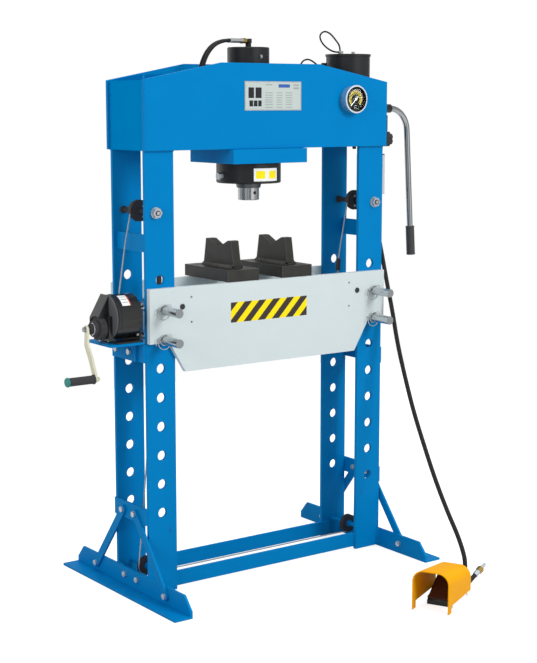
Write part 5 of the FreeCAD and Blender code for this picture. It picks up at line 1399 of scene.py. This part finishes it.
@dataclass
class Pedal(Form):
    """The foot pedal with its guard, its valve and its hose.

    Attributes:
        origin: X and Y of the guard's rear middle.
        bearing: Turn of the pedal about the vertical, in degrees.
        guard_side: The guard's near side across its own length.
        stub_start: Foot of the short hose in the pedal's own directions.
        stub_turn: Bearing of the short hose in degrees, from +X towards +Y.
        stub_rise: Its rise above the level in degrees.
    """

    origin: tuple[float, float] = (161.0, -791.5)
    bearing: float = 27.0
    guard_side: float = -65.5
    stub_start: Point = (225.0, -44.0, 33.0)
    stub_turn: float = 5.0
    stub_rise: float = 30.0

    def build(self) -> None:
        """Dresses the pedal and adds its hose, the short hose's fittings and the guard's rivets."""
        self.dresser.dress(["pedal_guard"], YELLOW, 0.8)
        self.dresser.dress(["pedal_base"], BLACK_PAINT, 0.8)
        self.dresser.dress(["pedal_treadle"], BOOT_BROWN, 1.0)
        route = [(516, -74, 1334), (516, -74, 1264), (519, -79, 1188), (524, -96, 1116), (520, -132, 1010),
                 (510, -175, 916), (493, -226, 800), (484, -280, 686), (471, -345, 568), (457, -418, 462),
                 (440, -500, 352), (425, -583, 255), (411, -655, 185), (401.3, -698.5, 127),
                 (398.3, -706.5, 93), (398.3, -706.5, 65)]
        Cord("pedal_hose", "frame", route, 1458, 16).build()
        self._stub()
        self._rivets()

    def spot(self, along: float, across: float, up: float) -> Vector:
        """Places a point that is given in the pedal's own directions.

        Args:
            along: Distance from the guard's rear middle along the pedal.
            across: Distance across it.
            up: Height over the floor.

        Returns:
            The point in the frame's coordinates.
        """
        turn = math.radians(self.bearing)
        return Vector((self.origin[0] + along * math.cos(turn) - across * math.sin(turn),
                       self.origin[1] + along * math.sin(turn) + across * math.cos(turn), up))

    def _stub(self) -> None:
        """Puts the bright ferrule, the brass nut and the nipple round the short side hose."""
        mesh = bmesh.new()
        turn, rise = math.radians(self.stub_turn), math.radians(self.stub_rise)
        way = Vector((math.cos(turn) * math.cos(rise), math.sin(turn) * math.cos(rise), math.sin(rise)))
        axis = tilted(way)
        start = self.spot(*self.stub_start)
        self.maker.lathe(mesh, axis, start, [(53.5, 8), (53.5, 9.9), (74.5, 9.9), (74.5, 8)], 32, 0)
        self.maker.lathe(mesh, axis, start, [(73.5, 6), (73.5, 12.4), (90.3, 12.4), (90.3, 6)], 6, 1)
        nipple = [(90.0, 4), (90.0, 7.4), (97.4, 7.4), (97.4, 5.4), (113.3, 5.4), (113.3, 0)]
        self.maker.lathe(mesh, axis, start, nipple, 28, 2)
        self.maker.piece("pedal_stub_fittings", mesh, [CHROME, BRASS, ZINC], "frame", "steel_bright")

    def _rivets(self) -> None:
        """Adds the two rivets low on the guard's near side."""
        mesh = bmesh.new()
        turn = math.radians(self.bearing)
        out = Vector((math.sin(turn), -math.cos(turn), 0))
        axis = tilted(out)
        for along in (30.0, 176.0):
            spot = self.spot(along, self.guard_side, 20)
            self.maker.lathe(mesh, axis, spot, [(0, 0), (0, 5), (1.4, 4.2), (2, 0)], 20)
        self.maker.piece("pedal_rivets", mesh, [ZINC], "frame", "steel_zinc")


# Studio


@dataclass
class Studio:
    """The white ground, the soft lamps and the camera at the photograph's angle.

    Attributes:
        spot: The camera's place in metres.
        yaw: Turn from +Y towards +X in radians.
        pitch: Tilt above the horizon in radians.
        lens: Focal length for a sensor of 36 mm on the long side.
        ground: Half width of the floor in metres.
        ground_grey: Brightness of the floor under the lamps.
        ground_glow: Brightness that the camera sees added to it.
        ground_mirrored: Brightness that glossy surfaces see added to it.
        soft: Brightness of the world as a light.
        camera_bearing: The camera's bearing seen from the press, in degrees.
        bands: What glossy surfaces see round the camera: bearing in degrees from the camera's own towards
            +X, and brightness.
    """

    spot: Point = (-3.0553, -4.31453, 1.67587)
    yaw: float = 0.6272
    pitch: float = -0.1531
    lens: float = 80.77
    ground: float = 3.2
    ground_grey: float = 0.42
    ground_glow: float = 0.8
    ground_mirrored: float = 0.3
    soft: float = 0.62
    camera_bearing: float = -125.6
    bands: tuple[tuple[float, float], ...] = (
        (-180, 0.3), (-160, 0.35), (-148, 0.8), (-128, 0.25), (-112, 0.12), (-95, 0.3), (-80, 0.5),
        (-30, 0.5), (-12, 0.6), (-4, 0.85), (4, 0.85), (8, 0.14), (24, 0.13), (30, 1.0), (60, 1.0),
        (68, 0.6), (74, 0.5), (90, 0.4), (105, 0.45), (118, 0.25), (140, 0.3), (150, 0.8), (162, 0.35),
        (180, 0.3))

    def build(self) -> None:
        """Sets up the ground, the world, the lamps and the camera."""
        bpy.context.scene.view_settings.view_transform = "Standard"
        self._floor()
        self._world()
        self._lamps()
        self._camera()
        log.info("studio ready")

    def _camera(self) -> None:
        """Places the camera."""
        data = bpy.data.cameras.new("camera")
        data.sensor_width = 36.0
        data.lens = self.lens
        data.clip_start, data.clip_end = 0.1, 200.0
        camera = bpy.data.objects.new("camera", data)
        level = math.cos(self.pitch)
        ahead = Vector((math.sin(self.yaw) * level, math.cos(self.yaw) * level, math.sin(self.pitch)))
        camera.rotation_mode = "QUATERNION"
        camera.rotation_quaternion = ahead.to_track_quat("-Z", "Y")
        camera.location = self.spot
        bpy.context.scene.collection.objects.link(camera)
        bpy.context.scene.camera = camera

    def _floor(self) -> None:
        """Lays a white floor that keeps a faint shadow."""
        mesh = bmesh.new()
        half = self.ground
        corners = [(x * half, y * half, -0.0005) for x, y in ((-1, -1), (1, -1), (1, 1), (-1, 1))]
        mesh.faces.new([mesh.verts.new(corner) for corner in corners])
        data = bpy.data.meshes.new("ground")
        mesh.to_mesh(data)
        mesh.free()
        made = bpy.data.materials.new("ground_white")
        made.use_nodes = True
        tree = made.node_tree
        nodes, links = tree.nodes, tree.links
        nodes.clear()
        diffuse = nodes.new("ShaderNodeBsdfDiffuse")
        diffuse.inputs["Color"].default_value = (self.ground_grey, self.ground_grey, self.ground_grey, 1.0)
        glow = nodes.new("ShaderNodeEmission")
        rays = nodes.new("ShaderNodeLightPath").outputs
        seen = maths(tree, "MAXIMUM", rays["Is Camera Ray"], rays["Is Transmission Ray"])
        strength = maths(tree, "MULTIPLY", seen, self.ground_glow)
        mirrored = maths(tree, "MULTIPLY", rays["Is Glossy Ray"], self.ground_mirrored)
        links.new(maths(tree, "ADD", strength, mirrored), glow.inputs["Strength"])
        both = nodes.new("ShaderNodeAddShader")
        links.new(diffuse.outputs["BSDF"], both.inputs[0])
        links.new(glow.outputs["Emission"], both.inputs[1])
        links.new(both.outputs["Shader"], nodes.new("ShaderNodeOutputMaterial").inputs["Surface"])
        data.materials.append(made)
        ground = bpy.data.objects.new("ground", data)
        bpy.context.scene.collection.objects.link(ground)

    def _world(self) -> None:
        """Sets a white surround for the camera, a softer one for light and a banded one for gloss."""
        world = bpy.data.worlds.new("surround")
        bpy.context.scene.world = world
        world.use_nodes = True
        tree = world.node_tree
        nodes, links = tree.nodes, tree.links
        back = nodes["Background"]
        back.inputs["Color"].default_value = (1.0, 1.0, 1.0, 1.0)
        rays = nodes.new("ShaderNodeLightPath").outputs
        seen = maths(tree, "MAXIMUM", rays["Is Camera Ray"], rays["Is Transmission Ray"])
        parts = nodes.new("ShaderNodeSeparateXYZ")
        links.new(nodes.new("ShaderNodeTexCoord").outputs["Generated"], parts.inputs[0])
        bearing = maths(tree, "DEGREES", maths(tree, "ARCTAN2", parts.outputs[1], parts.outputs[0]))
        turned = maths(tree, "ADD", bearing, 180.0 - self.camera_bearing)
        share = maths(tree, "WRAP", maths(tree, "DIVIDE", turned, 360.0), 1.0)
        ramp = nodes.new("ShaderNodeValToRGB")
        while len(ramp.color_ramp.elements) > 1:
            ramp.color_ramp.elements.remove(ramp.color_ramp.elements[-1])
        for place, (angle, bright) in enumerate(self.bands):
            spot = (angle + 180) / 360
            stop = ramp.color_ramp.elements[0] if place == 0 else ramp.color_ramp.elements.new(spot)
            stop.position = spot
            stop.color = (bright, bright, bright, 1.0)
        links.new(share, ramp.inputs["Fac"])
        steep = maths(tree, "GREATER_THAN", maths(tree, "ABSOLUTE", parts.outputs[2]), 0.9)
        banded = maths(tree, "MAXIMUM", ramp.outputs["Color"], steep)
        glossy = maths(tree, "MULTIPLY", banded, rays["Is Glossy Ray"])
        plain = maths(tree, "SUBTRACT", 1.0, maths(tree, "MAXIMUM", seen, rays["Is Glossy Ray"]))
        soft = maths(tree, "MULTIPLY", plain, self.soft)
        total = maths(tree, "ADD", maths(tree, "ADD", glossy, soft), seen)
        links.new(total, back.inputs["Strength"])

    def _lamps(self) -> None:
        """Hangs a large soft key in front, a fill on the left, one lamp above and one behind."""
        lamps = (
            ("key", (1.4, -5.2, 3.6), 2.6, 175.0),
            ("fill", (-5.0, -1.6, 2.4), 2.4, 70.0),
            ("top", (0.4, 0.6, 5.2), 2.6, 70.0),
            ("back", (1.5, 4.4, 2.6), 2.4, 40.0),
        )
        aim = Vector((0.0, 0.0, 0.95))
        for name, spot, size, power in lamps:
            data = bpy.data.lights.new(name, "AREA")
            data.shape = "RECTANGLE"
            data.size = size * 0.6
            data.size_y = size
            data.energy = power
            lamp = bpy.data.objects.new(name, data)
            lamp.location = spot
            lamp.rotation_mode = "QUATERNION"
            lamp.rotation_quaternion = (aim - Vector(spot)).to_track_quat("-Z", "Y")
            lamp.visible_glossy = False
            bpy.context.scene.collection.objects.link(lamp)


# Order of the work


def main() -> None:
    """Builds the studio and dresses the press, sub-assembly by sub-assembly."""
    logging.basicConfig(level=logging.INFO, format="%(name)s: %(message)s")
    Studio().build()
    maker, dresser = Maker(), Dresser()
    for form in (Head, Uprights, Bed, Cylinder, OilUnit, Winch, Lift, Pedal):
        form(maker, dresser).build()
    log.info("added %d pieces", maker.count)


if __name__ == "__main__":
    main()
